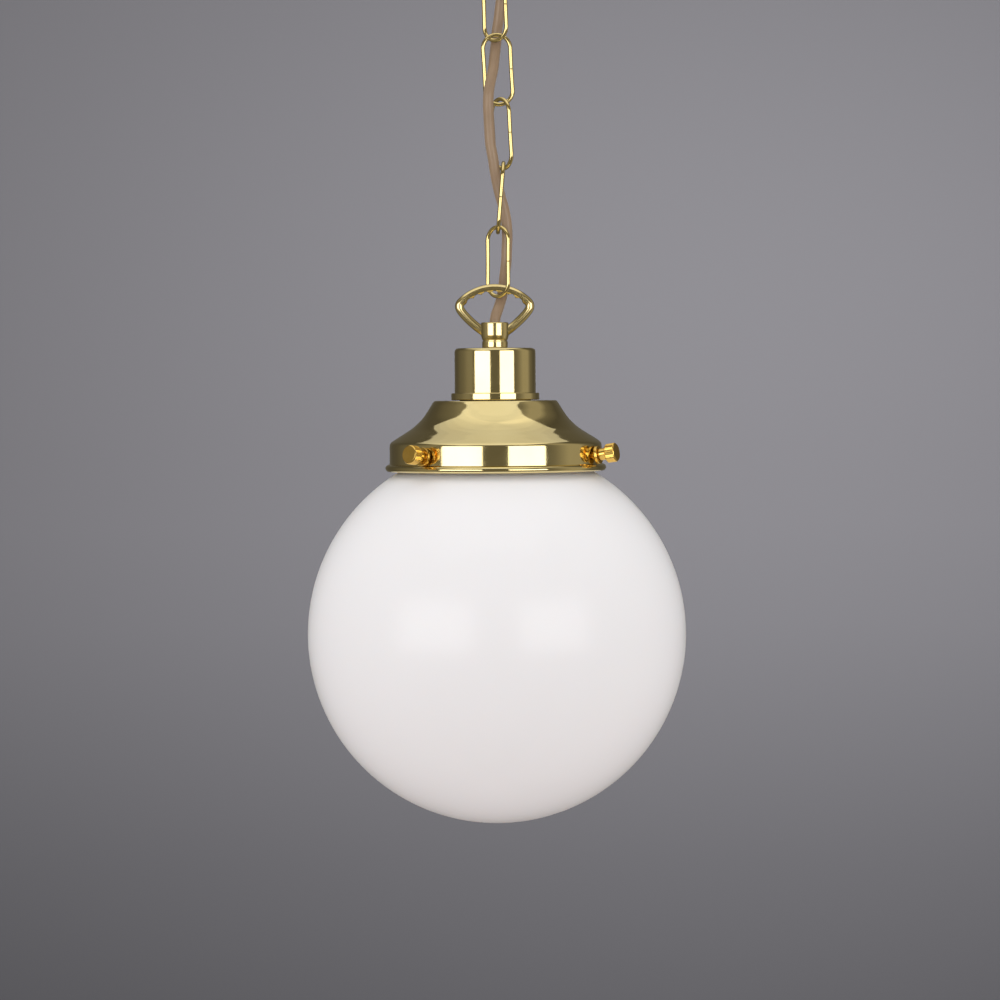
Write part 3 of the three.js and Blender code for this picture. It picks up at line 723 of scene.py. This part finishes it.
# ------------------------------------------------------------------ ceiling rose
@dataclass
class CeilingRose:
    """Spun cover, its collar, the cord bush and the hook that the chain hangs from."""

    rim_radius: float = 52.0 * MM
    bead_radius: float = 1.4 * MM
    wall: float = 1.2 * MM
    floor_radius: float = 26.0 * MM
    floor_height: float = -36.0 * MM
    skirt_height: float = -9.0 * MM
    hole_radius: float = 4.3 * MM
    bush_place: tuple[float, float] = (14.5 * MM, 6.5 * MM)
    eye_radius: float = 8.2 * MM
    wire_radius: float = 1.8 * MM
    stem_radius: float = 3.9 * MM
    thread_pitch: float = 1.25 * MM
    thread_depth: float = 0.55 * MM
    seat_height: float = -64.3 * MM
    twist_deg: float = 53.0

    def cover(self) -> Surface:
        """The spun cover: a rolled rim, a short skirt, a cove and a flat floor, all one wall thick."""
        r, z, floor = self.rim_radius, self.skirt_height, self.floor_height
        guide = np.array([
            [r, -4.0 * MM, 0], [r, z, 0], [r - 3.5 * MM, z - 2.6 * MM, 0],
            [r - 12 * MM, z - 7 * MM, 0], [self.floor_radius + 6 * MM, floor + 10 * MM, 0],
            [self.floor_radius + MM, floor + 2 * MM, 0], [self.floor_radius - 2 * MM, floor, 0],
        ])
        outer = np.vstack([centripetal(guide, 12)[:, :2], [[self.hole_radius, floor]]])
        inner = offset(outer, -self.wall)
        inner[-1] = (self.hole_radius, floor + self.wall)
        bead_centre = (r + self.bead_radius - self.wall / 2, -GAP - self.bead_radius)
        bead = arc(bead_centre, self.bead_radius, 100, -150, 18)
        lip = np.array([[r - self.wall, -GAP - 0.3 * MM]])
        return revolve(np.vstack([bead, outer, inner[::-1], lip]), 120, closed=True)

    def collar(self) -> Surface:
        """The knurled ring under the cover."""
        top = self.floor_height - GAP
        outline = rounded([
            (4.2 * MM, top - 4 * MM, 0.2 * MM), (9 * MM, top - 4 * MM, 0.6 * MM),
            (9 * MM, top, 0.3 * MM), (4.2 * MM, top, 0.2 * MM),
        ])
        return turned_knurl(outline, 48, 0.25 * MM, top - 3.3 * MM, top - 0.4 * MM, 192)

    def bush(self) -> Surface:
        """The flanged bush that the flex leaves through."""
        top = self.floor_height - GAP
        outline = rounded([
            (3.15 * MM, top - 2 * MM, 0.5 * MM), (6 * MM, top - 2 * MM, 0.8 * MM), (6 * MM, top, 0.2 * MM),
            (4.5 * MM, top, 0.1 * MM), (4.5 * MM, -29 * MM, 0.2 * MM), (3.15 * MM, -29 * MM, 0.2 * MM),
        ])
        surface = revolve(outline, 48, closed=True)
        place = np.array([*self.bush_place, 0.0])
        return Surface(surface.points + place, surface.quads)

    def hook(self) -> Surface:
        """The eye, a ring of round wire, and the shouldered and threaded stem above it.

        The thread's radius follows a cosine of height less the angle, so that it climbs one pitch a turn.
        """
        turn = math.radians(self.twist_deg)
        angle = np.linspace(0, 2 * np.pi, 72, endpoint=False)
        ring = np.stack([
            self.eye_radius * np.cos(angle) * math.cos(turn),
            self.eye_radius * np.cos(angle) * math.sin(turn),
            self.seat_height + self.eye_radius + self.eye_radius * np.sin(angle),
        ], axis=-1)
        eye = sweep(ring, self.wire_radius, 20, np.array([-math.sin(turn), math.cos(turn), 0.0]), closed=True)
        top = self.seat_height + 2 * self.eye_radius
        outline = rounded([
            (0, top - MM, 0), (3.1 * MM, top - MM, 0.4 * MM), (5 * MM, top + MM, 0.4 * MM),
            (5 * MM, top + 2.2 * MM, 0.4 * MM), (self.stem_radius, top + 3 * MM, 0.2 * MM),
            (self.stem_radius, -3.6 * MM, 0.1 * MM), (3.3 * MM, -3 * MM, 0.1 * MM), (0, -3 * MM, 0),
        ], closed=False, steps=4)
        heights = np.linspace(top + 3.4 * MM, -3.9 * MM, 260)
        shank = outline[:, 1] < top + 3.2 * MM
        thread = upright(self.stem_radius, heights)
        stem = revolve(np.vstack([outline[shank], thread, outline[~shank][-7:]]), 32)
        x, y, z = stem.points.T
        wave = 0.5 - 0.5 * np.cos(2 * np.pi * z / self.thread_pitch - np.arctan2(y, x))
        threaded = (z > top + 3.3 * MM) & (z < -3.8 * MM)
        return join(eye, stem.drawn_in(threaded * self.thread_depth * wave))

    def build(self, shop: Workshop) -> set[str]:
        """Makes the rose's pieces and returns the nodes that they stand for."""
        shop.fit("rose_cover_spun", self.cover(), Finish.POLISHED_BRASS, "rose_cover", "rose_cover")
        shop.fit("rose_collar_knurled", self.collar(), Finish.POLISHED_BRASS, "rose_collar", "rose_collar")
        shop.fit("cord_bush_moulded", self.bush(), Finish.NYLON, "rose_cover", "cord_bush")
        shop.fit("rose_hook_eye", self.hook(), Finish.GOLD_PLATE, "rose", "rose_hook", Smoothing.SOFT)
        return {"rose_cover", "rose_collar", "cord_bush", "rose_hook"}


# ------------------------------------------------------------------ chain
@dataclass
class Chain:
    """Five links of round wire, each bent to an oval and butted on its right leg.

    The wire is drawn a hair under its nominal radius, which leaves room where one link swings on the next.
    """

    wire_radius: float = 1.1 * MM
    drawn_radius: float = 1.07 * MM
    length: float = 38.7 * MM
    width: float = 16.6 * MM
    crossing: float = 2.9 * MM
    bow: float = 0.12 * MM
    seam_width: float = 0.16 * MM
    seam_depth: float = 0.16
    first_top: float = -61.0 * MM
    twist_deg: tuple[float, ...] = (37.0, 0.0, 51.0, 90.0, 41.0)
    contact_x: tuple[float, ...] = (0.6 * MM, 1.6 * MM, 3.4 * MM, 5.2 * MM, 2.0 * MM, 1.8 * MM)

    def link(self) -> Surface:
        """One link in its own plane, centred: half circles at the ends, legs that bow in by a hair, and a seam.

        The seam is a narrow dip in the wire's radius: a bell curve of the distance from the butt joint.
        """
        bend = self.width / 2 - self.wire_radius
        leg = self.length / 2 - self.wire_radius - bend
        part = np.linspace(-1.0, 1.0, 121)
        fine = np.sign(part) * leg * np.abs(part) ** 1.8
        right = np.stack([bend - self.bow * np.cos(0.5 * np.pi * fine / leg), fine], -1)
        top = arc((0, leg), bend, 0, 180, 40)[1:-1]
        path = np.vstack([right, top, -right, -top])
        points = np.stack([path[:, 0], 0 * path[:, 0], path[:, 1]], -1)
        seam = (path[:, 0] > 0) * np.exp(-((path[:, 1] / self.seam_width) ** 2))
        radius = self.drawn_radius * (1 - self.seam_depth * seam)
        return sweep(points, radius, 20, np.array([0.0, 1.0, 0.0]), closed=True)

    def placement(self, number: int) -> np.ndarray:
        """Matrix of a link: turned about its own length, leant between its two contacts and set between them."""
        span = self.length - 2 * self.wire_radius
        top = self.first_top - number * (span - self.crossing)
        upper = Vector((self.contact_x[number], 0, top))
        lower = Vector((self.contact_x[number + 1], 0, top - span))
        lean = Vector((0, 0, 1)).rotation_difference(upper - lower)
        twist = Euler((0, 0, math.radians(-self.twist_deg[number]))).to_quaternion()
        return np.array(Matrix.Translation((upper + lower) / 2) @ (lean @ twist).to_matrix().to_4x4())

    def build(self, shop: Workshop) -> set[str]:
        """Makes the links and returns the nodes that they stand for."""
        link = self.link()
        names = [f"link_{number + 1}" for number in range(len(self.twist_deg))]
        for number, name in enumerate(names):
            placed = link.moved(self.placement(number))
            placed.uv = None
            shop.fit(f"{name}_wire", placed, Finish.GOLD_PLATE, name, name, Smoothing.SOFT)
        return set(names)


# ------------------------------------------------------------------ flex
@dataclass
class Flex:
    """The flex in six stretches, split half way down each link."""

    diameter: float = 5.5 * MM
    sides: int = 28
    samples: int = 6
    first_bend: float = -46.0 * MM
    last_bend: float = -240.0 * MM
    splits: tuple[int, ...] = (0, 7, 12, 17, 22, 27, 35)
    bodies: tuple[str, ...] = ("rose", "link_1", "link_2", "link_3", "link_4", "link_5", "fitting")
    route: list[tuple[float, float, float]] = field(default_factory=lambda: [
        (14.5, 6.5, -24), (14.5, 6.5, -32), (14.5, 6.5, -43), (13.1, 4.9, -49.5), (10.2, 2.6, -56.5), (7.4, 2, -63),
        (5.2, 2.5, -71), (4.1, 2.9, -79.2), (3.2, 3.8, -86), (2.2, 5.2, -92), (1.7, 5.5, -98), (0.9, 3.7, -105),
        (0, 0.5, -112.9), (-1.4, -3.3, -119.5), (-2.4, -5.3, -126), (-2.6, -5.3, -132.5), (-2.3, -4, -140),
        (-2, -3.3, -146.5), (-1.5, -3, -153), (-0.3, -2.6, -159.5), (0.6, -1.7, -166), (1.9, -0.4, -173),
        (3.6, 0.3, -180), (5.4, 0.7, -186.5), (6.5, 1.3, -193), (6.9, 1.8, -199.5), (6.6, 1.9, -207),
        (6.3, 2.4, -213.6), (5.5, 4.4, -220), (4.7, 6.1, -226.5), (3.8, 5.7, -232), (2.2, 3.3, -237.5),
        (0.6, 0.9, -242), (0, 0, -245.5), (0, 0, -254), (0, 0, -267.5),
    ])

    def build(self, shop: Workshop) -> set[str]:
        line = centripetal(np.array(self.route, float) * MM, self.samples)
        tangent = np.gradient(line, axis=0)
        taken: set[str] = set()
        for number in range(len(self.splits) - 1):
            first, last = (split * self.samples for split in self.splits[number : number + 2])
            stretch = slice(first, last + 1)
            path = line[stretch]
            name = f"flex_{number + 1}"
            across = np.array([1.0, 0.0, 0.0])
            tube = sweep(path, self.diameter / 2, self.sides, across, tangent=tangent[stretch])
            piece = shop.dress(make_object(f"{name}_sheath", tube, Smoothing.SOFT), Finish.FLEX_SHEATH)
            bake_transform(piece)
            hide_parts(name)
            taken.add(name)
        return taken


# ------------------------------------------------------------------ fitting
@dataclass
class LampLoop:
    """The cast loop: an arched bar with notches under it, legs that round into it, and a bored neck."""

    outer_radius: float = 27.4 * MM
    top: float = 184.8 * MM
    tube_radius: float = 2.3 * MM
    cusp_radius: float = 22.6 * MM
    notch_radius: float = 23.8 * MM
    notch_reach: float = 0.715
    notches: int = 7
    notch_fullness: float = 0.8
    notch_fade: float = 0.03
    bar_end: float = 0.744
    side: tuple[tuple[float, float], ...] = (
        (18.2, 174.6), (18.62, 173.2), (18.35, 171.8), (17.5, 170.3),
        (15.6, 168.0), (12.4, 164.8), (9.2, 162.0), (5.4, 159.2),
    )

    @property
    def centre(self) -> float:
        """Height of the bar's centre of curvature."""
        return self.top - self.outer_radius

    def line(self) -> np.ndarray:
        """The whole centreline, foot to foot: a circle's arc for the bar, and a smooth curve for each leg."""
        radius = self.outer_radius - self.tube_radius
        angle = np.linspace(-self.bar_end, self.bar_end, 361)
        bar = np.stack([radius * np.sin(angle), 0 * angle, self.centre + radius * np.cos(angle)], -1)
        guide = np.array([(x, 0.0, z) for x, z in self.side]) * MM
        leg = centripetal(np.vstack([bar[-20], bar[-1], guide]), 16)[16:]
        mirrored = leg[::-1] * np.array([-1.0, 1.0, 1.0])
        return np.vstack([mirrored, bar[1:-1], leg])

    def ring(self) -> Surface:
        """The bar and legs, one round tube, cut back from below to the notches' scallops.

        Each point nearer the bar's centre of curvature than the scallop line moves out to it. The line is
        one arch a notch, a power of the sine of the place in it, from the cusps up to the notch radius.
        """
        tube = sweep(self.line(), self.tube_radius, 32, np.array([0.0, 1.0, 0.0]))
        x, y, z = tube.points.T
        place = np.arctan2(x, z - self.centre)
        inside = np.abs(place) < self.notch_reach
        part = ((place + self.notch_reach) / (2 * self.notch_reach) * self.notches) % 1.0
        arch = np.sin(np.pi * part) ** self.notch_fullness
        fade = np.clip((self.notch_reach - np.abs(place)) / self.notch_fade, 0, 1)
        least = self.cusp_radius + (self.notch_radius - self.cusp_radius) * arch * fade
        radius = np.hypot(x, z - self.centre)
        scale = np.where(inside, np.maximum(radius, least), radius) / radius
        return Surface(np.stack([x * scale, y, self.centre + (z - self.centre) * scale], -1), tube.quads)

    def neck(self) -> Surface:
        """The turned neck: a barrel with a soft rim, a groove, a ring and a foot, bored for the flex."""
        outline = rounded([
            (5.3, 151.2, 0.1), (6.65, 151.2, 0.15), (6.75, 151.5, 0.15), (6.75, 154.4, 0.2), (6.3, 154.7, 0.1),
            (6.3, 155.1, 0.1), (6.75, 155.4, 0.2), (7.3, 157.6, 1.2), (7.35, 164.5, 0.7),
            (3.4, 164.5, 0.5), (3.4, 158.2, 0.1), (5.3, 158.2, 0.1),
        ])
        return revolve(outline * MM, 96, closed=True)

    def build(self, shop: Workshop) -> set[str]:
        """Makes the loop and returns the node that it stands for."""
        whole = join(self.ring(), self.neck()).raised(GLOBE_CENTRE)
        shop.fit("lamp_loop_casting", whole, Finish.SATIN_GOLD, "fitting", "lamp_loop")
        return {"lamp_loop"}


@dataclass
class Gallery:
    """The spun gallery with its cove, shoulder, skirt and rolled rim, and the holder's cover above it."""

    wall: float = 1.2 * MM
    top: float = 123.3 * MM
    bore: float = 19.3 * MM
    skirt_radius: float = 56.05 * MM
    rim_centre: tuple[float, float] = (56.5 * MM, 87.9 * MM)
    rim_radius: float = 1.8 * MM

    def shell(self) -> Surface:
        """The gallery: one wall thick, its inner face offset from the outer along the normals."""
        guide = np.array([
            (31.6, 123.3), (32.5, 123.0), (33.2, 122.1), (35.6, 118.2), (39.0, 113.5), (44.1, 108.75),
            (49.3, 105.35), (53.9, 102.4), (55.2, 101.4), (55.85, 100.5), (56.05, 99.2), (56.05, 97.0),
        ]) * MM
        curve = centripetal(np.column_stack([guide, np.zeros(len(guide))]), 10)[:, :2]
        straight = upright(self.skirt_radius, np.linspace(96.5, 90.0, 12) * MM)
        flat = np.stack([np.linspace(self.bore, 30.4 * MM, 8), np.full(8, self.top)], -1)
        outer = np.vstack([flat, curve, straight])
        inner = offset(outer, -self.wall)
        inner[0] = (self.bore, self.top - self.wall)
        bead = arc(self.rim_centre, self.rim_radius, 75, -165, 28)
        lip = np.array([[self.skirt_radius - self.wall, self.rim_centre[1] + 1.2 * MM]])
        return revolve(np.vstack([outer, bead, lip, inner[::-1]]), 192, closed=True)

    def cover(self) -> Surface:
        """The lampholder's cover: a drawn cup with a soft top edge and a bead-edged flange."""
        outline = rounded([
            (20.2, 123.6, 0.15), (23.25, 123.6, 0.5), (23.25, 127.3, 0.45), (21.4, 127.3, 0.15), (21.4, 150.9, 1.9),
            (5.25, 150.9, 0.2), (5.25, 149.7, 0.2), (20.2, 149.7, 1.0),
        ], steps=9)
        return revolve(outline * MM, 144, closed=True)

    def build(self, shop: Workshop) -> set[str]:
        """Makes both shells and returns the nodes that they stand for."""
        shells = {
            "gallery": ("gallery_spun", self.shell()),
            "lampholder_cover": ("lampholder_cover_drawn", self.cover()),
        }
        for node, (name, shell) in shells.items():
            shop.fit(name, shell.raised(GLOBE_CENTRE), Finish.POLISHED_BRASS, "fitting", node, Smoothing.SOFT)
        return set(shells)


@dataclass
class Thumbscrews:
    """Three knurled screws with lock nuts, spaced unevenly round the skirt and tipped up a little."""

    azimuths_deg: tuple[float, ...] = (-40.5, 67.0, 194.75)
    height: float = 94.4 * MM
    rise_deg: float = 8.5
    pivot_radius: float = 56.05 * MM

    def placement(self, azimuth_deg: float) -> np.ndarray:
        """Matrix from a screw's own axis, with height as the distance from the globe's axis, to its place."""
        azimuth, rise = math.radians(azimuth_deg), math.radians(self.rise_deg)
        outward = Vector((math.sin(azimuth), -math.cos(azimuth), 0))
        direction = outward * math.cos(rise) + Vector((0, 0, math.sin(rise)))
        turn = Vector((0, 0, 1)).rotation_difference(direction).to_matrix().to_4x4()
        pivot = outward * self.pivot_radius
        pivot.z = self.height + GLOBE_CENTRE
        return np.array(Matrix.Translation(pivot) @ turn @ Matrix.Translation((0, 0, -self.pivot_radius)))

    def screw(self) -> Surface:
        """The screw: a plain shank, a round collar and a knurled head with a chamfered face."""
        outline = rounded([
            (0.01, 49.4, 0), (1.9, 49.4, 0.1), (2.4, 49.9, 0.1), (2.4, 59.2, 0.05),
            (3.2, 59.2, 0.35), (3.2, 63.0, 0.3), (4.45, 63.05, 0.2), (4.95, 63.5, 0.25),
            (4.95, 67.9, 0.3), (4.3, 68.5, 0.25), (0.01, 68.5, 0),
        ], steps=5)
        return turned_knurl(outline * MM, 40, 0.16 * MM, 63.4 * MM, 68.0 * MM, 320)

    def lock_nut(self) -> Surface:
        """The thin round nut against the skirt, with a very fine knurl."""
        outline = rounded([(2.7, 57.15, 0.1), (4.85, 57.15, 0.3), (4.85, 58.9, 0.3), (2.7, 58.9, 0.1)], steps=4)
        return turned_knurl(outline * MM, 48, 0.04 * MM, 57.4 * MM, 58.65 * MM, 288)

    def tip(self) -> Surface:
        """The soft tip that bears on the glass: a short rod with a domed end."""
        outline = rounded([(0, 47.3, 0), (1.6, 47.3, 0.7), (1.6, 49.1, 0.1), (0, 49.1, 0)], closed=False)
        return revolve(outline * MM, 32)

    def build(self, shop: Workshop) -> set[str]:
        """Makes the three sets and returns the nodes that they stand for."""
        taken: set[str] = set()
        for number, azimuth in enumerate(self.azimuths_deg, start=1):
            place = self.placement(azimuth)
            parts = (
                ("thumbscrew", self.screw(), Finish.LACQUERED_BRASS),
                ("lock_nut", self.lock_nut(), Finish.LACQUERED_BRASS),
                ("screw_tip", self.tip(), Finish.NYLON),
            )
            for kind, surface, finish in parts:
                node = f"{kind}_{number}"
                shop.fit(f"{node}_turned", surface.moved(place), finish, node, node)
                taken.add(node)
        return taken


@dataclass
class GlobeAndLamp:
    """The opal globe with its necked lip, and the lamp inside it."""

    radius: float = 100.0 * MM
    wall: float = 3.0 * MM
    neck_radius: float = 46.8 * MM
    lip_radius: float = 50.6 * MM
    cap_radius: float = 12.9 * MM
    thread_pitch: float = 3.63 * MM
    thread_depth: float = 0.6 * MM

    def globe(self) -> Surface:
        """The blown globe: circles of the ball outside and in, a neck and a rounded, flared lip."""
        join_deg = math.degrees(math.acos((self.neck_radius + 1.5 * MM) / self.radius))
        inner_radius = self.radius - self.wall
        inner_deg = math.degrees(math.acos((self.neck_radius - self.wall) / inner_radius))
        outer = arc((0, 0), self.radius, -90, join_deg, 110)
        inner = arc((0, 0), inner_radius, inner_deg, -90, 70)
        outer[0, 0] = inner[-1, 0] = 0.0
        neck = rounded([
            (*outer[-1], 0), (46.9 * MM, 90.4 * MM, 2 * MM), (self.neck_radius, 96.6 * MM, 1.5 * MM),
            (self.lip_radius, 98.8 * MM, 0.9 * MM), (self.lip_radius, 102 * MM, 1.2 * MM),
            (44.2 * MM, 102 * MM, 1.2 * MM), (*inner[0], 0),
        ], closed=False)
        return revolve(np.vstack([outer, neck[1:-1], inner]), 160)

    def envelope(self) -> Surface:
        """The lamp's frosted envelope: a ball that draws in to a neck."""
        ball = arc((0, 45 * MM), 30 * MM, -90, 46, 40)
        ball[0, 0] = 0.0
        guide = np.vstack([ball[-1:], np.array([(15.9, 77), (13.7, 88), (12.9, 97.5)]) * MM])
        curve = centripetal(np.column_stack([guide, np.zeros(len(guide))]), 10)[:, :2]
        return revolve(np.vstack([ball[:-1], curve, [[0, 97.5 * MM]]]), 72)

    def cap(self) -> Surface:
        """The lamp's screwed cap: its radius follows a cosine of height less the angle, one pitch a turn."""
        outline = rounded([
            (0, 97.8, 0), (12.9, 97.8, 0.3), (12.9, 115.5, 0.8), (8.5, 118, 0.5), (5.5, 118.7, 0.2), (0, 118.7, 0),
        ], closed=False, steps=4) * MM
        wall = upright(self.cap_radius, np.linspace(98.4, 114.4, 150) * MM)
        profile = np.vstack([outline[outline[:, 1] < 98.3 * MM], wall, outline[outline[:, 1] > 114.5 * MM]])
        surface = revolve(profile, 64)
        x, y, z = surface.points.T
        fade = np.clip((z - 100.5 * MM) / MM, 0, 1) * np.clip((114.5 * MM - z) / MM, 0, 1)
        wave = 0.5 - 0.5 * np.cos(2 * np.pi * z / self.thread_pitch + np.arctan2(y, x))
        return surface.drawn_in(self.thread_depth * wave * fade)

    def build(self, shop: Workshop) -> set[str]:
        """Makes the glass and the lamp and returns the nodes that they stand for."""
        parts = (
            ("globe", self.globe(), Finish.OPAL_GLASS, "fitting"),
            ("bulb_glass", self.envelope(), Finish.BULB_GLASS, "lamp"),
            ("bulb_cap", self.cap(), Finish.ZINC_STEEL, "lamp"),
        )
        for node, surface, finish, body in parts:
            shop.fit(f"{node}_fine", surface.raised(GLOBE_CENTRE), finish, body, node, Smoothing.SOFT)
        return {node for node, *_ in parts}


# ------------------------------------------------------------------ studio
@dataclass(frozen=True)
class SoftPanel:
    """A flat soft light that faces the light fitting."""

    name: str
    place: tuple[float, float, float]
    target: tuple[float, float, float]
    width: float
    height: float
    radiance: float
    colour: Colour = (1.0, 1.0, 1.0)
    mirrored: bool = True
    lights_matt: bool = True

    def build(self) -> None:
        """Adds the panel; its power is its radiance times pi times its area."""
        data = bpy.data.lights.new(self.name, "AREA")
        data.shape, data.size, data.size_y = "RECTANGLE", self.width, self.height
        data.energy, data.color = self.radiance * math.pi * self.width * self.height, self.colour
        light = bpy.data.objects.new(self.name, data)
        light.location = self.place
        facing = Vector(self.target) - Vector(self.place)
        light.rotation_euler = facing.to_track_quat("-Z", "Y").to_euler()
        light.visible_camera = False
        light.visible_glossy = self.mirrored
        light.visible_diffuse = self.lights_matt
        bpy.context.scene.collection.objects.link(light)


@dataclass
class Studio:
    """Camera, two strip lights beside it, a wide one above, a dim room and a paper surround."""

    eye_height: float = -0.285
    distance: float = 1.5
    lens: float = 102.1
    pitch_deg: float = 2.08
    roll_deg: float = -0.4
    aim_x: float = 2.1 * MM
    aim_z: float = -0.32
    strip_distance: float = 1.9
    strip_centres_deg: tuple[float, float] = (-36.7, 34.1)
    strip_half_width_deg: tuple[float, float] = (22.7, 20.6)
    strip_z: tuple[float, float] = (-0.62, 0.38)
    strip_radiance: float = 2.5
    strip_matt_radiance: float = 1.3
    above_height: float = 1.2
    above_x: tuple[float, float] = (-0.74, 0.57)
    above_y: tuple[float, float] = (-0.8, 0.93)
    above_radiance: tuple[float, float] = (0.87, 0.47)
    above_bands: int = 8
    wall_radius: float = 2.2
    bend_radius: float = 0.8
    floor_height: float = -1.15
    paper_top: float = -0.45
    paper_tint: Colour = (1.0, 0.983, 1.05)
    # Paper tone by height: the pale floor is the paper's own, the grey wall above it is painted shade, darker at
    # its foot and lighter towards its top
    paper_tone_and_painted_shade_by_height: tuple[tuple[float, float], ...] = (
        (-1.15, 0.46), (-1.06, 0.46), (-1.02, 0.065), (-0.98, 0.068),
        (-0.86, 0.0765), (-0.73, 0.089), (-0.576, 0.103), (-0.45, 0.109),
    )
    room_tint: Colour = (1.32, 1.22, 1.0)
    room_by_azimuth: tuple[tuple[float, float], ...] = (
        (-180, 0.10), (-150, 0.06), (-135, 0.065), (-122, 0.09), (-101, 0.12), (-85, 0.17), (-72, 0.18),
        (-62, 0.11), (-15, 0.10), (11, 0.10), (58, 0.10), (68, 0.14), (86, 0.26), (106, 0.26),
        (118, 0.12), (140, 0.06), (180, 0.10),
    )
    fill_by_rise: tuple[tuple[float, Colour], ...] = (
        (0.0, (0.48, 0.41, 0.39)), (0.3, (0.93, 0.895, 0.90)), (0.45, (1.0, 0.98, 0.985)),
        (0.62, (0.90, 0.90, 0.915)), (1.0, (0.58, 0.58, 0.59)),
    )
    above_tint: Colour = (1.0, 0.99, 0.985)
    glow: SoftPanel = SoftPanel(
        "backdrop_glow", (0.19, 1.1, -0.16), (0.19, 2.2, -0.16), 0.5, 0.5, 27.0, (0.985, 0.98, 1.0), False
    )

    def camera(self) -> None:
        """Adds the camera, level with the top of the gallery and tipped down a little."""
        data = bpy.data.cameras.new("camera")
        data.lens, data.sensor_width, data.clip_end = self.lens, 36.0, 50.0
        camera = bpy.data.objects.new("camera", data)
        camera.location = (self.aim_x, -self.distance, self.eye_height)
        tip = Matrix.Rotation(math.radians(90 - self.pitch_deg), 4, "X")
        roll = Matrix.Rotation(math.radians(self.roll_deg), 4, "Z")
        camera.rotation_euler = (tip @ roll).to_euler()
        bpy.context.scene.collection.objects.link(camera)
        bpy.context.scene.camera = camera

    def lights(self) -> None:
        """Adds the strips, set by azimuth from the front, the panel above and a light on the backdrop."""
        low, high = self.strip_z
        middle_z = 0.5 * (low + high)
        names = ("strip_left", "strip_right")
        for name, centre, half in zip(names, self.strip_centres_deg, self.strip_half_width_deg):
            azimuth = math.radians(centre)
            place = (self.strip_distance * math.sin(azimuth), -self.strip_distance * math.cos(azimuth), middle_z)
            width = 2 * self.strip_distance * math.tan(math.radians(half))
            shape = (place, (0.0, 0.0, middle_z), width, high - low)
            SoftPanel(name, *shape, self.strip_radiance, lights_matt=False).build()
            SoftPanel(f"{name}_soft", *shape, self.strip_matt_radiance, mirrored=False).build()
        self.canopy()
        self.glow.build()

    def canopy(self) -> None:
        """Adds the wide light above, in bands that fade from the front to the back."""
        x_low, x_high = np.multiply(self.above_x, self.above_height)
        edges = np.linspace(*np.multiply(self.above_y, self.above_height), self.above_bands + 1)
        strength = np.linspace(*self.above_radiance, self.above_bands)
        for number, radiance in enumerate(strength):
            middle = (0.5 * (x_low + x_high), 0.5 * (edges[number] + edges[number + 1]))
            SoftPanel(
                f"canopy_{number + 1}", (*middle, self.aim_z + self.above_height), (*middle, self.aim_z),
                x_high - x_low, edges[number + 1] - edges[number], float(radiance), self.above_tint,
            ).build()

    def room(self) -> None:
        """Adds the room's own light: even for matt surfaces, and by azimuth where it is mirrored."""
        world = bpy.data.worlds.new("room")
        world.use_nodes = True
        tree = NodeTree(world.node_tree)
        along = tree.nodes.new("ShaderNodeTexCoord").outputs["Generated"]
        parts = tree.node("SeparateXYZ", Vector=along).outputs
        azimuth = tree.math("ARCTAN2", parts["X"], tree.math("MULTIPLY", parts["Y"], -1.0))
        turn = tree.node("MapRange", Value=azimuth, From_Min=-math.pi, From_Max=math.pi)
        by_turn = [
            ((deg + 180) / 360, self.tinted(self.room_tint, tone)) for deg, tone in self.room_by_azimuth
        ]
        mirrored = tree.colours(turn.outputs["Result"], by_turn)
        rise = tree.node("MapRange", Value=parts["Z"], From_Min=-1.0)
        even = tree.colours(rise.outputs["Result"], list(self.fill_by_rise))
        matt = tree.nodes.new("ShaderNodeLightPath").outputs["Is Diffuse Ray"]
        tree.fill(tree.nodes["Background"].inputs["Color"], tree.mix(matt, mirrored, even))
        bpy.context.scene.world = world

    @staticmethod
    def tinted(tint: Colour, tone: float) -> Colour:
        """A grey tone in a tint."""
        return tuple(tone * part for part in tint)

    def surround(self) -> None:
        """Adds the pale floor, which curves up into a grey wall all round: a quarter circle, then a cylinder. The
        wall's grey is painted lighter towards its top, painted shade that stands in for the fall of light on the
        backdrop.
        """
        wall, bend, floor = self.wall_radius, self.bend_radius, self.floor_height
        curve = arc((wall - bend, floor + bend), bend, -90, 0, 32)
        surface = revolve(np.vstack([[[0.0, floor]], curve, [[wall, 5.0], [0.0, 6.0]]]), 128)
        thing = make_object("studio_surround", surface, Smoothing.SOFT)
        thing.data.flip_normals()
        thing.visible_diffuse = thing.visible_glossy = thing.visible_shadow = thing.visible_transmission = False
        graph = Graph("studio_paper").set(Roughness=0.95, Specular_IOR_Level=0.1)
        height = graph.node("SeparateXYZ", Vector=graph.coordinates.outputs["Object"]).outputs["Z"]
        place = graph.node("MapRange", Value=height, From_Min=floor, From_Max=self.paper_top)
        rise = self.paper_top - floor
        # Painted shade: the wall's grey rises from 0.065 at its foot to 0.109 at its top for the fall of light on
        # the backdrop; the floor's 0.46 is plain pale paper
        stops = [
            ((z - floor) / rise, self.tinted(self.paper_tint, tone)) for z, tone in self.paper_tone_and_painted_shade_by_height
        ]
        graph.feed("Base Color", graph.colours(place.outputs["Result"], stops))
        thing.data.materials.append(graph.material)

    def build(self) -> None:
        """Sets up the whole studio, shown with plain display colours."""
        bpy.context.scene.view_settings.view_transform = "Standard"
        self.camera()
        self.lights()
        self.room()
        self.surround()


def main() -> None:
    """Builds the studio, the flex and each sub-assembly, and dresses what is left of the frame."""
    logging.basicConfig(level=logging.INFO, format="%(name)s: %(message)s")
    Studio().build()
    shop = Workshop()
    taken = Flex().build(shop)
    for assembly in (CeilingRose(), Chain(), LampLoop(), Gallery(), Thumbscrews(), GlobeAndLamp()):
        taken |= assembly.build(shop)
    shop.dress_frame(taken)
    shop.keep_out_of_mirrors(GLOBE_CENTRE + LOOP_FOOT)


if __name__ == "__main__":
    main()
